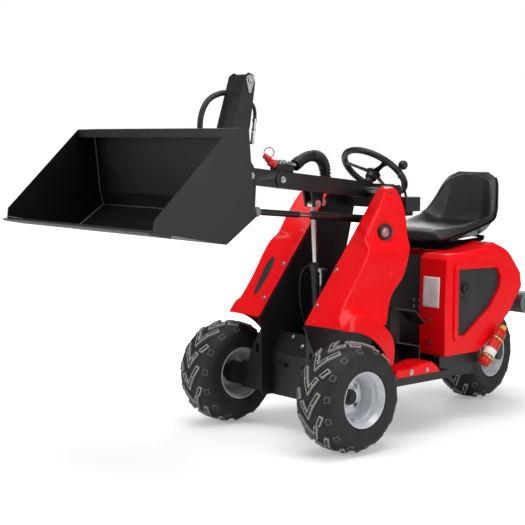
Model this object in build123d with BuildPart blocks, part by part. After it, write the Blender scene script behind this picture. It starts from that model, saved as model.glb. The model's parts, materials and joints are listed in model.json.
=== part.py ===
"""Three-wheeled mini loader with a raised bucket, in millimetres.

Two driven front wheels, one steered rear wheel on the centreline, a tower with red fairings
that carries the boom, and a seat over the engine. +X is forward, +Y is left, +Z is up, and
the origin is on the ground under the middle of the machine's box.

Side profiles are drawn with x measured from the front axle line, so the datum helpers below
add the axle's own place.
"""
import math
import os

from build123d import *

os.makedirs("parts", exist_ok=True)

# Wheels: a 16x8-7 tyre on a 7 inch steel rim
tyre_r = 203.0
tyre_half = 96.0
crown_half = 40.0
shoulder_r = 190.0
shoulder_half = 66.0
bead_r = 98.0
rim_flange_r = 103.5
rim_half = 86.0
rim_wall = 3.0
rim_dish = 84.0
tread_r = 192.0
lug_pitches = 14
disc_r = 80.0
disc_t = 5.0
hub_r = 30.0
hub_len = 46.0
hub_bore_r = 17.5
stud_pcd = 100.0
stud_count = 4
stud_r = 6.0
stud_len = 14.0
track = 691.0
wheelbase = 1117.0
rear_turn = 9.9
run_fit = 0.05
seat_fit = 0.3

# Reach of the machine ahead of the front axle and behind the rear one
edge_tip_x = 950.0
rear_reach = tyre_r * math.cos(math.radians(rear_turn)) + crown_half * math.sin(math.radians(rear_turn))
axle_x = (wheelbase + rear_reach - edge_tip_x) / 2

# Linkage pins, x from the front axle line
boom_rear = (-405.0, 932.0)
boom_front = (205.0, 1000.0)
joint_pin = (39.0, 981.0)
lift_base = (-182.0, 282.0)
lift_eye = (-146.0, 885.0)
tilt_top = (210.0, 1345.0)
bucket_pin = (410.0, 880.0)
tilt_eye = (280.0, 852.0)
link_rear = (-407.0, 815.0)
link_front = (203.0, 870.0)

# Boom and carrier sections
boom_h = 62.0
boom_w = 70.0
boom_wall = 6.0
cheek_t = 8.0
nose_half = 27.0
pin_r = 12.0
link_y = 65.0
carrier_y = 38.0
plate_t = 8.0

# Cylinders: outside radius of the barrel and of the rod
lift_barrel_r = 21.0
lift_rod_r = 11.0
tilt_barrel_r = 20.0
tilt_rod_r = 10.0
level_barrel_r = 16.0
level_rod_r = 9.0
eye_r = 19.0
eye_half = 14.0
lug_out = 34.0
lug_t = 10.0

# Bucket
bucket_w = 898.0
sheet_t = 4.0
rail_w = 26.0

# Frame
floor_z = 235.0
floor_t = 5.0
rail_depth = 31.0
tower_y = 127.0
tower_t = 8.0
tower_out = tower_y + tower_t
beam_end = 250.0
fairing_y = tower_out + seat_fit
skin_t = 5.0
cowl_half = 300.0
cowl_foot_z = 277.0
arch_r = 234.0
fender_in = 270.0
fender_out = 350.0

# Steering wheel
steer_at = (-481.0, 1002.0)
steer_r = 148.0
steer_tube_r = 13.0
steer_lean = 40.0


def side(y):
    """Side view plane at y: local x is forward from the front axle, local y is up, extrusion goes to -Y."""
    return Plane(origin=(axle_x, y, 0), x_dir=(1, 0, 0), z_dir=(0, -1, 0))


def level(z):
    """Level plane at z: local x is forward from the front axle, local y is left, extrusion goes up."""
    return Plane(origin=(axle_x, 0, z), x_dir=(1, 0, 0), z_dir=(0, 0, 1))


def facing(x):
    """Plane across the machine at x from the front axle: local x is left, local y is up, extrusion goes forward."""
    return Plane(origin=(axle_x + x, 0, 0), x_dir=(0, 1, 0), z_dir=(1, 0, 0))


def save(piece, label):
    """Label a finished piece and write its STEP file."""
    piece.part.label = label
    export_step(piece.part, f"parts/{label}.step")


def angle_of(a, b):
    """Angle in degrees of the line from a to b in the side view."""
    return math.degrees(math.atan2(b[1] - a[1], b[0] - a[0]))


def dist(a, b):
    """Distance between two points of the side view."""
    return math.hypot(b[0] - a[0], b[1] - a[1])


def along(a, b, d):
    """Point of the side view at distance d from a towards b."""
    k = d / dist(a, b)
    return (a[0] + k * (b[0] - a[0]), a[1] + k * (b[1] - a[1]))


def rod_plane(a, b, y, d=0.0):
    """Plane across the line from a to b in the side view at y, d past a, facing b."""
    p = along(a, b, d)
    return Plane(origin=(axle_x + p[0], y, p[1]), x_dir=(0, 1, 0),
                 z_dir=(b[0] - a[0], 0, b[1] - a[1]))


def wheel_plane(x, y, turn):
    """Plane through a wheel's centre whose normal is the axle: local x is forward, local y is up."""
    c, s = math.cos(math.radians(turn)), math.sin(math.radians(turn))
    return Plane(origin=(axle_x + x, y, tyre_r), x_dir=(c, s, 0), z_dir=(s, -c, 0))


# Wheels, one row each: name, x, y, turn, side that the dish faces (1 left, -1 right)
wheels = [
    ("front_left", 0.0, track / 2, 0.0, 1),
    ("front_right", 0.0, -track / 2, 0.0, -1),
    ("rear", -wheelbase, 0.0, rear_turn, 1),
]

# Tyre in its own frame: Z is the axle, and X points to the wheel's front.
# Lug outlines on the flattened tread: t along its circumference, a across it. Each pitch mirrors the last.
lug_outlines = [
    [(-54, -3.5), (-54, 3.5), (3.2, 35), (10.9, 21), (-27.6, 0), (48, -43), (40, -57)],
    [(45.7, 66), (53.4, 52.6), (18.3, 33.4), (10.6, 47.4)],
]
lug_forms = []
for pitch, flip in ((0, -1), (1, 1)):
    turned = Plane.XY.rotated((0, 0, 360 / lug_pitches * pitch))
    for outline in lug_outlines:
        with BuildPart() as lug:
            with BuildSketch(Plane(origin=(0, 0, 0), x_dir=turned.y_dir, z_dir=turned.x_dir).offset(tread_r - 16)):
                with BuildLine():
                    Polyline(*[(t, flip * a) for t, a in outline], close=True)
                make_face()
            extrude(amount=34)
            with BuildSketch(Plane.XZ):
                with BuildLine():
                    Polyline((tread_r - 14, -shoulder_half), (shoulder_r, -shoulder_half), (tyre_r, -crown_half),
                             (tyre_r, crown_half), (shoulder_r, shoulder_half), (tread_r - 14, shoulder_half),
                             close=True)
                make_face()
            revolve(axis=Axis.Z, mode=Mode.INTERSECT)
        lug_forms.append(lug.part)

with BuildPart() as tyre_form:
    with BuildSketch(Plane.XZ):
        with BuildLine():
            Polyline((tread_r, -crown_half), (tread_r, crown_half), (tread_r - 8, shoulder_half + 4),
                     (150, tyre_half), (rim_flange_r + 2, rim_half + 4), (bead_r, rim_half - 6),
                     (bead_r, -rim_half + 6), (rim_flange_r + 2, -rim_half - 4), (150, -tyre_half),
                     (tread_r - 8, -shoulder_half - 4), close=True)
        make_face()
    revolve(axis=Axis.Z)
    with PolarLocations(0, lug_pitches // 2):
        add(lug_forms)

for wheel_name, wheel_x, wheel_y, turn, out in wheels:
    hub = wheel_plane(wheel_x, wheel_y, turn)
    # Half section across the wheel: local x is the radius, local y is along the axle to the left
    section = Plane(origin=hub.origin, x_dir=hub.x_dir, z_dir=hub.y_dir)
    axle = Axis(hub.origin, hub.z_dir)

    with BuildPart() as tyre:
        with Locations(hub.location):
            add(tyre_form.part)
    save(tyre, f"tyre_{wheel_name}")

    # Steel rim: barrel and flanges round a disc that sits far in from the open face
    disc_y = -out * (rim_half - rim_dish)
    with BuildPart() as rim:
        with BuildSketch(section):
            with BuildLine():
                Polyline(
                    (bead_r - seat_fit, -rim_half + 6), (rim_flange_r, -rim_half - 3),
                    (rim_flange_r - 3, -rim_half - 5), (bead_r - 4, -rim_half + 4),
                    (disc_r - rim_wall, -rim_half + 26), (disc_r - rim_wall, rim_half - 26),
                    (bead_r - 4, rim_half - 4), (rim_flange_r - 3, rim_half + 5),
                    (rim_flange_r, rim_half + 3), (bead_r - seat_fit, rim_half - 6),
                    (bead_r - seat_fit, rim_half - 16), (disc_r, rim_half - 28),
                    (disc_r, -rim_half + 28), (bead_r - seat_fit, -rim_half + 16),
                    close=True)
            make_face()
        revolve(axis=axle)
        with BuildSketch(hub.offset(-disc_y - disc_t / 2)):
            Circle(disc_r - 1)
            Circle(hub_bore_r + run_fit, mode=Mode.SUBTRACT)
        extrude(amount=disc_t)
        with BuildSketch(hub.offset(-disc_y - hub_len / 2)):
            Circle(hub_r)
            Circle(hub_bore_r + run_fit, mode=Mode.SUBTRACT)
        extrude(amount=hub_len)
        with BuildSketch(hub.offset(-disc_y)):
            with PolarLocations(stud_pcd / 2, stud_count, start_angle=45):
                Circle(stud_r)
        extrude(amount=-out * stud_len)
    save(rim, f"rim_{wheel_name}")

# Front axle: a box between the tower plates, with a beam outside each plate that carries a wheel motor
motor_r = 44.0
motor_end = track / 2 - hub_len / 2 - 6
with BuildPart() as axle_box:
    with BuildSketch(side(tower_y)):
        with BuildLine():
            Polyline((-130, 134), (-47, 134), (-47, 301), (-93, 380), (-100, 377), (-60, 308), (-130, 301), close=True)
        make_face()
    extrude(amount=2 * tower_y)
    for y0 in (beam_end, -tower_out):
        with BuildSketch(side(y0)):
            with BuildLine():
                Polyline((-44, 150), (5, 150), (5, 256), (-44, 256), close=True)
            make_face()
        extrude(amount=beam_end - tower_out)
    # Gusset over each beam, with its lashing slot
    for out in (1, -1):
        with BuildSketch(facing(-1)):
            with BuildLine():
                Polyline((out * tower_out, 256), (out * (beam_end - 40), 256), (out * (beam_end - 52), 300),
                         (out * tower_out, 396), close=True)
            make_face()
            with Locations((out * (tower_out + 20), 318)):
                SlotOverall(40, 16, rotation=90, mode=Mode.SUBTRACT)
        extrude(amount=6)
save(axle_box, "front_axle_box")

with BuildPart() as motors:
    for out in (1, -1):
        face = Plane(origin=(axle_x, out * beam_end, tyre_r), x_dir=(1, 0, 0), z_dir=(0, out, 0))
        with BuildSketch(face):
            Circle(motor_r)
        extrude(amount=motor_end - beam_end)
        with BuildSketch(face.offset(motor_end - beam_end)):
            Circle(hub_bore_r)
        extrude(amount=track / 2 + hub_len / 2 + 4 - motor_end)
save(motors, "wheel_motors")

# Lashing hole in each inner rail
lash_at = (-830.0, 204.0)
lash_r = 11.0
frame_front = -130.0

# Frame: floor plate with its rails, and the raised rear beams over the steered wheel
with BuildPart() as frame:
    with BuildSketch(level(floor_z - floor_t)):
        with BuildLine():
            Polyline((frame_front, 180), (-250, 180), (-250, 345), (-560, 345), (-560, 290), (-860, 290),
                     (-860, -290), (-560, -290), (-560, -345), (-250, -345), (-250, -180),
                     (frame_front, -180), close=True)
        make_face()
    extrude(amount=floor_t)
    for y0 in (180.0, -150.0):
        with BuildSketch(side(y0)):
            with BuildLine():
                Polyline((frame_front, floor_z - floor_t), (frame_front, 180), (-860, 180),
                         (-860, floor_z - floor_t), close=True)
            make_face()
            with Locations(lash_at):
                Circle(lash_r, mode=Mode.SUBTRACT)
        extrude(amount=30)
    for y0 in (345.0, -315.0):
        with BuildSketch(side(y0)):
            with BuildLine():
                Polyline((-250, floor_z - floor_t), (-250, floor_z - rail_depth),
                         (-560, floor_z - rail_depth), (-560, floor_z - floor_t), close=True)
            make_face()
        extrude(amount=30)
    # Black side boxes that the cowl's foot sits on
    for y0 in (290.0, -250.0):
        with BuildSketch(side(y0)):
            with BuildLine():
                Polyline((-560, floor_z - floor_t), (-587, 194), (-744, 189), (-800, cowl_foot_z - seat_fit),
                         (-560, cowl_foot_z - seat_fit), close=True)
            make_face()
        extrude(amount=40)
    # Mount of the lift cylinder: two plates that stand on the floor plate, with the pin through them
    with BuildSketch(side(lug_out + 6)):
        with Locations(lift_base):
            Circle(pin_r)
    extrude(amount=2 * (lug_out + 6))
    for y0 in (lug_out, -lug_out + lug_t):
        with BuildSketch(side(y0)):
            with Locations(lift_base):
                Circle(24)
            with BuildLine():
                Polyline((lift_base[0] - 45, floor_z), (lift_base[0] + 45, floor_z),
                         (lift_base[0] + 22, lift_base[1] + 8), (lift_base[0] - 22, lift_base[1] + 8), close=True)
            make_face()
        extrude(amount=lug_t)
save(frame, "chassis_frame")

head_z = 448.0
head_len = 84.0
head_r = 30.0
king_r = 18.0
with BuildPart() as rear_frame:
    for y0 in (200.0, -160.0):
        with BuildSketch(side(y0)):
            with BuildLine():
                Polyline((-820, floor_z), (-860, floor_z), (-900, 440), (-910, 450), (-1150, 450),
                         (-1150, 490), (-890, 490), (-860, 460), close=True)
            make_face()
        extrude(amount=40)
    with BuildSketch(level(450)):
        with Locations((-wheelbase, 0)):
            Rectangle(66, 322)
    extrude(amount=40)
    with BuildSketch(level(head_z)):
        with Locations((-wheelbase, 0)):
            Circle(head_r)
    extrude(amount=head_len)
    with BuildSketch(level(head_z)):
        with Locations((-wheelbase, 0)):
            Circle(king_r + run_fit)
    extrude(amount=head_len, mode=Mode.SUBTRACT)
save(rear_frame, "rear_frame")

# Rear fork, turned with the wheel about the kingpin
fork_in = 114.0
fork_t = 12.0
crown_z = 420.0
crown_t = 14.0
fork_hub = wheel_plane(-wheelbase, 0, rear_turn)
fork_level = Plane(origin=(axle_x - wheelbase, 0, 0), x_dir=fork_hub.x_dir, z_dir=(0, 0, 1))
with BuildPart() as fork:
    with BuildSketch(fork_level.offset(crown_z)):
        Rectangle(80, 2 * (fork_in + fork_t))
    extrude(amount=crown_t)
    for start in (-fork_in - fork_t, fork_in):
        with BuildSketch(fork_hub.offset(start)):
            with BuildLine():
                Polyline((-40, crown_z - tyre_r), (-26, 0), (26, 0), (40, crown_z - tyre_r), close=True)
            make_face()
            Circle(26)
        extrude(amount=fork_t)
    with BuildSketch(fork_hub.offset(-fork_in - 1)):
        Circle(hub_bore_r)
    extrude(amount=2 * fork_in + 2)
    with BuildSketch(fork_level.offset(crown_z + crown_t)):
        Circle(king_r)
    extrude(amount=head_z + head_len - crown_z - crown_t + 10)
save(fork, "rear_fork")

# Tower: two plates inside the fairings, joined by a back plate
tower_outline = [(5, 134), (5, 405), (20, 432), (-140, 639), (-258, 787), (-358, 915), (-380, 952), (-490, 952),
                 (-500, 880), (-430, 600), (-340, 400), (-320, floor_z), (frame_front, floor_z), (frame_front, 134)]

with BuildPart() as tower:
    for y0 in (tower_y + tower_t, -tower_y):
        with BuildSketch(side(y0)):
            with BuildLine():
                Polyline(*tower_outline, close=True)
            make_face()
            with Locations(boom_rear, link_rear):
                Circle(pin_r + run_fit, mode=Mode.SUBTRACT)
        extrude(amount=tower_t)
save(tower, "tower_plates")

with BuildPart() as tower_back:
    with BuildSketch(side(tower_y)):
        with BuildLine():
            Polyline((-328, floor_z), (-348, 400), (-438, 600), (-446, 600), (-356, 400), (-336, floor_z), close=True)
        make_face()
    extrude(amount=2 * tower_y)
save(tower_back, "tower_back")

# Fairings: a hollow leg shield each side from level sections, and a fender that flares over the wheel.
# Section columns: z, x and y of the crease, x at the tower plate, x and y of the rear edge,
# x where the rear meets the tower plate
lower_sections = [
    (442, 8, 325, 20, -222, 328, -222),
    (500, -16, 280, -24, -255, 300, -255),
    (577, -76, 282, -84, -305, 296, -305),
    (656, -128, 286, -145, -362, 294, -362),
    (741, -187, 287, -214, -388, 292, -388),
]
upper_sections = [
    (741, -172, 236, -214, -388, 262, -388),
    (806, -212, 240, -264, -392, 262, -400),
    (880, -268, 240, -322, -378, 254, -415),
    (945, -318, 226, -372, -352, 236, -425),
]
lamp_at = (-279.0, 781.0)
for label, out in (("fairing_left", 1), ("fairing_right", -1)):
    with BuildPart() as fairing:
        for sections in (lower_sections, upper_sections):
            for z, crease_x, crease_y, front_x, rear_x, rear_y, rear_in_x in sections:
                with BuildSketch(level(z)):
                    with BuildLine():
                        Polyline((front_x, out * fairing_y), (crease_x, out * crease_y), (rear_x, out * rear_y),
                                 (rear_in_x, out * fairing_y), close=True)
                    make_face()
            loft(ruled=True)
        for sections, lowest, highest in ((lower_sections, -12, -skin_t), (upper_sections, -12, -skin_t)):
            for z, crease_x, crease_y, front_x, rear_x, rear_y, rear_in_x in sections:
                shift = lowest if z == sections[0][0] else (highest if z == sections[-1][0] else 0)
                with BuildSketch(level(z + shift)):
                    with BuildLine():
                        Polyline((front_x - 2 * skin_t, out * (fairing_y - 1)),
                                 (crease_x - 1.6 * skin_t, out * (crease_y - 1.2 * skin_t)),
                                 (rear_x - 1, out * (rear_y - skin_t)),
                                 (rear_in_x - 1, out * (fairing_y - 1)), close=True)
                    make_face()
            loft(ruled=True, mode=Mode.SUBTRACT)
        # The fender is a shelf over the wheel that turns down behind it, with a skirt on its outer edge
        with BuildSketch(side(fender_out) if out > 0 else side(-fender_in)):
            with BuildLine():
                fender_top = Polyline((8, 442), (-30, 492), (-75, 508), (-130, 490), (-188, 448), (-226, 412),
                                      (-247, 382), (-238, 288))
                Polyline(fender_top @ 1, (-233, 288), (-241.5, 380), (-222, 408), (-185, 443.5), (-128, 485),
                         (-75, 502.5), (-33, 487), (3, 440), fender_top @ 0)
            make_face()
        extrude(amount=fender_out - fender_in)
        with BuildSketch(side(fender_out) if out > 0 else side(skin_t - fender_out)):
            with BuildLine():
                arch = CenterArc((0, tyre_r), arch_r, 92, 65)
                Polyline(arch @ 1, (-238, 288), (-247, 382), (-226, 412), (-188, 448), (-130, 490), (-75, 508),
                         (-30, 492), (8, 442), arch @ 0)
            make_face()
        extrude(amount=skin_t)
    save(fairing, label)

# Red sill boards beside the footwell
sill_in = 250.0
sill_out = 352.0
with BuildPart() as sill:
    for y0 in (sill_out, -sill_in):
        with BuildSketch(side(y0)):
            with BuildLine():
                Polyline((-250, floor_z + seat_fit), (-250, 268), (-330, 268), (-396, 280), (-450, 280),
                         (-482, 258), (-500, floor_z + seat_fit), close=True)
            make_face()
        extrude(amount=sill_out - sill_in)
save(sill, "sills")

# Foot plate and step, bent from strip, on a post left of the tower
with BuildPart() as pedal:
    with BuildSketch(side(235)):
        with BuildLine():
            Polyline((-352, 480), (-478, 457), (-534, 402), (-538, 406), (-480, 463), (-353, 486), close=True)
        make_face()
    extrude(amount=90)
    with BuildSketch(side(250)):
        with BuildLine():
            Polyline((-352, 350), (-484, 320), (-489, floor_z), (-495, floor_z), (-489, 325), (-353, 356), close=True)
        make_face()
    extrude(amount=105)
    with BuildSketch(side(160)):
        with BuildLine():
            Polyline((-415, floor_z), (-415, 470), (-470, 460), (-470, floor_z), close=True)
        make_face()
    extrude(amount=6)
save(pedal, "foot_pedal")

# Engine wall, engine and muffler
wall_x = -600.0
with BuildPart() as wall:
    with BuildSketch(facing(wall_x)):
        with Locations((0, floor_z + 215)):
            Rectangle(360, 430)
    extrude(amount=-5)
save(wall, "engine_wall")

with BuildPart() as engine:
    with BuildSketch(level(floor_z)):
        with Locations((-735, 0)):
            Rectangle(230, 280)
    extrude(amount=330)
save(engine, "engine")

with BuildPart() as muffler:
    with BuildSketch(side(290)):
        with Locations((-1110, 446)):
            Circle(46)
    extrude(amount=90 - seat_fit)
    with BuildSketch(side(240)):
        with BuildLine():
            Polyline((-1090, 420), (-1090, 442), (-870, 442), (-870, 420), close=True)
        make_face()
    extrude(amount=30)
save(muffler, "muffler")

rim_rise = 7.0
front_gap = 165.0
# Cowl over the engine: hollow, open below, with a window each side and an open front
cowl_profile = [(-580, cowl_foot_z), (-575, 460), (-583, 660), (-600, 678), (-740, 681), (-890, 713), (-950, 690),
                (-1043, 580), (-1053, 520), (-970, 415), (-860, 325), (-806, 287), (-785, cowl_foot_z)]
cowl_inner = [(-586, cowl_foot_z - 9), (-580.5, 460), (-588, 658), (-603, 673), (-741, 676), (-890, 708), (-946, 686),
              (-1037, 577), (-1047, 522), (-965, 418), (-856, 329), (-801, 291), (-781, cowl_foot_z - 9)]
cowl_window = [(-650, 618), (-890, 612), (-911, 570), (-906, 530), (-848, 455), (-690, 350), (-650, 355)]
top_round = 28.0


def side_tops(form, y):
    """Long upper edges of the cowl's outline in its side faces at +-y."""
    return [e for e in form.edges()
            if e.center().Z > 665 and e.length > 60 and abs(abs(e.center().Y) - y) < 1]


with BuildPart() as cavity:
    with BuildSketch(side(cowl_half - skin_t)):
        with BuildLine():
            Polyline(*cowl_inner, close=True)
        make_face()
    extrude(amount=2 * (cowl_half - skin_t))
    fillet(side_tops(cavity, cowl_half - skin_t), top_round - skin_t)

with BuildPart() as cowl:
    with BuildSketch(side(cowl_half)):
        with BuildLine():
            Polyline(*cowl_profile, close=True)
        make_face()
    extrude(amount=2 * cowl_half)
    fillet(side_tops(cowl, cowl_half), top_round)
    # Raised frame round each window
    for y0 in (cowl_half + rim_rise, -cowl_half + 1):
        with BuildSketch(side(y0)):
            with BuildLine():
                Polyline(*cowl_window, close=True)
            make_face()
            offset(amount=22)
        extrude(amount=rim_rise + 1)
    add(cavity.part, mode=Mode.SUBTRACT)
    with BuildSketch(side(cowl_half + rim_rise + 1)):
        with BuildLine():
            Polyline(*cowl_window, close=True)
        make_face()
    extrude(amount=2 * (cowl_half + rim_rise + 1), mode=Mode.SUBTRACT)
    with BuildSketch(facing(-700)):
        with Locations((0, 480)):
            Rectangle(2 * front_gap, 560)
    extrude(amount=150, mode=Mode.SUBTRACT)
    with BuildSketch(facing(-1060)):
        with Locations((0, 260)):
            Rectangle(560, 480)
    extrude(amount=285, mode=Mode.SUBTRACT)
save(cowl, "rear_cowl")

with BuildPart() as panel:
    for y0 in (cowl_half - skin_t - seat_fit, -cowl_half + skin_t + 4):
        with BuildSketch(side(y0)):
            with BuildLine():
                Polyline((-635, 640), (-905, 630), (-928, 570), (-922, 528), (-850, 440), (-690, 335),
                         (-635, 340), close=True)
            make_face()
        extrude(amount=4 - seat_fit)
save(panel, "side_panels")

# Seat: pan, cushion and back. The outline is the front view of the back, half width against height.
back_outline = [(205, 740), (205, 850), (192, 920), (157, 972), (102, 993), (0, 998)]
shell_outline = [(200, 600)] + [(y - 12, z - 30) for y, z in back_outline]
with BuildPart() as seat_shell:
    with BuildSketch(side(190)):
        with BuildLine():
            Polyline((-690, 682), (-740, 682), (-890, 714), (-1040, 714), (-1085, 760), (-1118, 960), (-1110, 962),
                     (-1077, 765), (-1036, 738), (-890, 730), (-690, 702), close=True)
        make_face()
    extrude(amount=380)
    with BuildSketch(facing(-1130)):
        with BuildLine():
            Polyline(*shell_outline, *[(-y, z) for y, z in shell_outline[-2::-1]], close=True)
        make_face()
    extrude(amount=500, mode=Mode.INTERSECT)
save(seat_shell, "seat_shell")

# Cushion with a bolster each side that rises towards the back
bolster_w = 40.0
with BuildPart() as seat_cushion:
    with BuildSketch(side(205)):
        with BuildLine():
            Polyline((-690, 703), (-890, 731), (-1030, 738.7), (-1030, 768), (-760, 768), (-700, 760), (-690, 748),
                     close=True)
        make_face()
    extrude(amount=410)
    for y0 in (205, bolster_w - 205):
        with BuildSketch(side(y0)):
            with BuildLine():
                Polyline((-770, 760), (-930, 797), (-1030, 812), (-1030, 760), close=True)
            make_face()
        extrude(amount=bolster_w)
    with BuildSketch(level(690)):
        with Locations((-870, 0)):
            RectangleRounded(360, 410, 80)
    extrude(amount=140, mode=Mode.INTERSECT)
save(seat_cushion, "seat_cushion")

with BuildPart() as seat_back:
    with BuildSketch(side(205)):
        with BuildLine():
            Polyline((-1033, 744), (-1040, 744), (-1076.7, 765.5), (-1109.7, 962), (-1095, 990), (-1060, 995), (-1045, 980),
                     (-1036, 800), close=True)
        make_face()
    extrude(amount=410)
    with BuildSketch(facing(-1130)):
        with BuildLine():
            Polyline(*back_outline, *[(-y, z) for y, z in back_outline[-2::-1]], close=True)
        make_face()
    extrude(amount=200, mode=Mode.INTERSECT)
save(seat_back, "seat_back")

# Steering column and wheel
lean = math.radians(steer_lean)
steer_axis = (-math.sin(lean), 0, math.cos(lean))
steer_plane = Plane(origin=(axle_x + steer_at[0], 0, steer_at[1]), x_dir=(math.cos(lean), 0, math.sin(lean)),
                    z_dir=steer_axis)
column_r = 18.0
with BuildPart() as column:
    with BuildSketch(side(tower_y)):
        with BuildLine():
            Polyline((-450, 860), (-446, 935), (-462, 956), (-490, 935), (-496, 860), close=True)
        make_face()
    extrude(amount=2 * tower_y)
    with BuildSketch(steer_plane.offset(-60)):
        Circle(column_r)
    extrude(amount=20)
    with BuildSketch(steer_plane.offset(-41)):
        Circle(8)
    extrude(amount=44)
save(column, "steering_column")

with BuildPart() as wheel:
    with Locations(steer_plane.location):
        Torus(steer_r - steer_tube_r, steer_tube_r)
    with BuildSketch(steer_plane.offset(-38)):
        Circle(24)
        Circle(8 + run_fit, mode=Mode.SUBTRACT)
    extrude(amount=36)
    with BuildSketch(steer_plane.offset(-10)):
        with PolarLocations(0, 3, start_angle=180):
            with Locations(((steer_r - steer_tube_r) / 2 + 8, 0)):
                Rectangle(steer_r - steer_tube_r - 16, 22)
    extrude(amount=6)
    # Spinner knob on the left of the rim
    with BuildSketch(steer_plane):
        with Locations((0, steer_r - steer_tube_r)):
            Circle(6)
    extrude(amount=30)
    with Locations(steer_plane.location * Location((0, steer_r - steer_tube_r, 36))):
        Sphere(19)
save(wheel, "steering_wheel")

# Control valve outside the left tower plate
valve_in = 152.0
with BuildPart() as valve:
    with BuildSketch(level(850)):
        with Locations((-482, valve_in + 30)):
            Rectangle(82, 60)
    extrude(amount=56)
    with BuildSketch(side(valve_in)):
        with BuildLine():
            Polyline((-462, 850), (-462, 880), (-494, 880), (-494, 850), close=True)
        make_face()
    extrude(amount=valve_in - tower_out)
    # Spools below the block, and the hand lever above it
    for x0 in (-502, -482, -462):
        with BuildSketch(level(832)):
            with Locations((x0, valve_in + 30)):
                Circle(8)
        extrude(amount=18)
    with BuildSketch(Plane(origin=(axle_x - 476, valve_in + 30, 900), x_dir=(0, 1, 0), z_dir=(0.34, 0, 0.94))):
        Circle(5)
    extrude(amount=92)
    with Locations((axle_x - 476 + 0.34 * 96, valve_in + 30, 900 + 0.94 * 96)):
        Sphere(14)
save(valve, "control_valve")

# Boom: a box beam with two cheeks at its front, and a nose bolted between them
up = angle_of(boom_rear, boom_front)
with BuildPart() as boom:
    beam = rod_plane(boom_rear, boom_front, 0)
    beam_len = dist(boom_rear, joint_pin) - 45
    with BuildSketch(beam):
        Rectangle(boom_w, boom_h)
        Rectangle(boom_w - 2 * boom_wall, boom_h - 2 * boom_wall, mode=Mode.SUBTRACT)
    extrude(amount=beam_len)
    for y0 in (boom_w / 2, -boom_w / 2 + cheek_t):
        with BuildSketch(side(y0)):
            with Locations(joint_pin, boom_rear):
                Circle(boom_h / 2)
            with BuildLine():
                Polyline(*[(p[0] + s * boom_h / 2 * math.sin(math.radians(up)),
                            p[1] - s * boom_h / 2 * math.cos(math.radians(up)))
                           for p, s in ((boom_rear, 1), (joint_pin, 1), (joint_pin, -1), (boom_rear, -1))],
                         close=True)
            make_face()
            with Locations(boom_rear):
                Circle(pin_r + run_fit, mode=Mode.SUBTRACT)
        extrude(amount=cheek_t)
    with BuildSketch(side(boom_w / 2)):
        with Locations(boom_rear):
            Circle(26)
            Circle(pin_r + run_fit, mode=Mode.SUBTRACT)
    extrude(amount=boom_w)
    with BuildSketch(side(boom_w / 2)):
        with Locations(boom_rear):
            Circle(pin_r + run_fit)
    extrude(amount=boom_w, mode=Mode.SUBTRACT)
    # Clevis for the lift cylinder
    for y0 in (eye_half + 13, -eye_half - 3):
        with BuildSketch(side(y0)):
            with BuildLine():
                Polyline((lift_eye[0] - 34, lift_eye[1] + 50), (lift_eye[0] - 20, lift_eye[1] - 12),
                         (lift_eye[0] + 20, lift_eye[1] - 12), (lift_eye[0] + 34, lift_eye[1] + 58), close=True)
            make_face()
        extrude(amount=10)
    # Nose: a block between the cheeks that ends at the carrier's pin
    with BuildSketch(side(nose_half)):
        with Locations(boom_front):
            Circle(boom_h / 2)
        with BuildLine():
            Polyline(*[(p[0] + s * boom_h / 2 * math.sin(math.radians(up)),
                        p[1] - s * boom_h / 2 * math.cos(math.radians(up)))
                       for p, s in ((joint_pin, 1), (boom_front, 1), (boom_front, -1), (joint_pin, -1))],
                     close=True)
        make_face()
        with Locations(boom_front):
            Circle(pin_r + run_fit, mode=Mode.SUBTRACT)
    extrude(amount=2 * nose_half)
save(boom, "boom")

with BuildPart() as pivot_pins:
    with BuildSketch(side(tower_out)):
        with Locations(boom_rear, link_rear):
            Circle(pin_r)
    extrude(amount=2 * tower_out)
save(pivot_pins, "pivot_pins")

with BuildPart() as carrier_pin:
    with BuildSketch(side(carrier_y + plate_t + 8)):
        with Locations(boom_front):
            Circle(pin_r)
    extrude(amount=2 * (carrier_y + plate_t + 8))
    # Thrust washers that keep the nose in the middle between the carrier's plates
    for y0 in (carrier_y - seat_fit, -nose_half - seat_fit):
        with BuildSketch(side(y0)):
            with Locations(boom_front):
                Circle(boom_h / 2)
        extrude(amount=carrier_y - nose_half - 2 * seat_fit)
save(carrier_pin, "carrier_pin")

# Carrier: two plates with the mast above, the level cylinder's pin behind and the bucket pin ahead
carrier_outline = [(186, 868), (178, 1000), (192, 1036), (236, 1090), (209, 1176), (184, 1335),
                   (192, 1364), (212, 1372), (232, 1360), (290, 1176), (336, 990), (424, 908),
                   (440, 880), (424, 854), (390, 850), (340, 890), (228, 846), (200, 842)]
with BuildPart() as carrier:
    for y0 in (carrier_y + plate_t, -carrier_y):
        with BuildSketch(side(y0)):
            with BuildLine():
                Polyline(*carrier_outline, close=True)
            make_face()
            with Locations(boom_front, tilt_top, bucket_pin):
                Circle(pin_r + run_fit, mode=Mode.SUBTRACT)
        extrude(amount=plate_t)
    with BuildSketch(side(carrier_y)):
        with BuildLine():
            Polyline((290, 1176), (250, 1303), (243, 1303), (283, 1175), (306, 1080), (313, 1082), close=True)
        make_face()
    extrude(amount=2 * carrier_y)
    with BuildSketch(side(link_y - eye_half - 0.5)):
        with Locations(link_front):
            Circle(pin_r + 6)
    extrude(amount=link_y - eye_half - carrier_y - 0.5)
save(carrier, "carrier")

with BuildPart() as tilt_pin:
    with BuildSketch(side(carrier_y + plate_t + 5)):
        with Locations(tilt_top):
            Circle(pin_r)
    extrude(amount=2 * (carrier_y + plate_t + 5))
save(tilt_pin, "tilt_pin")


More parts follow.
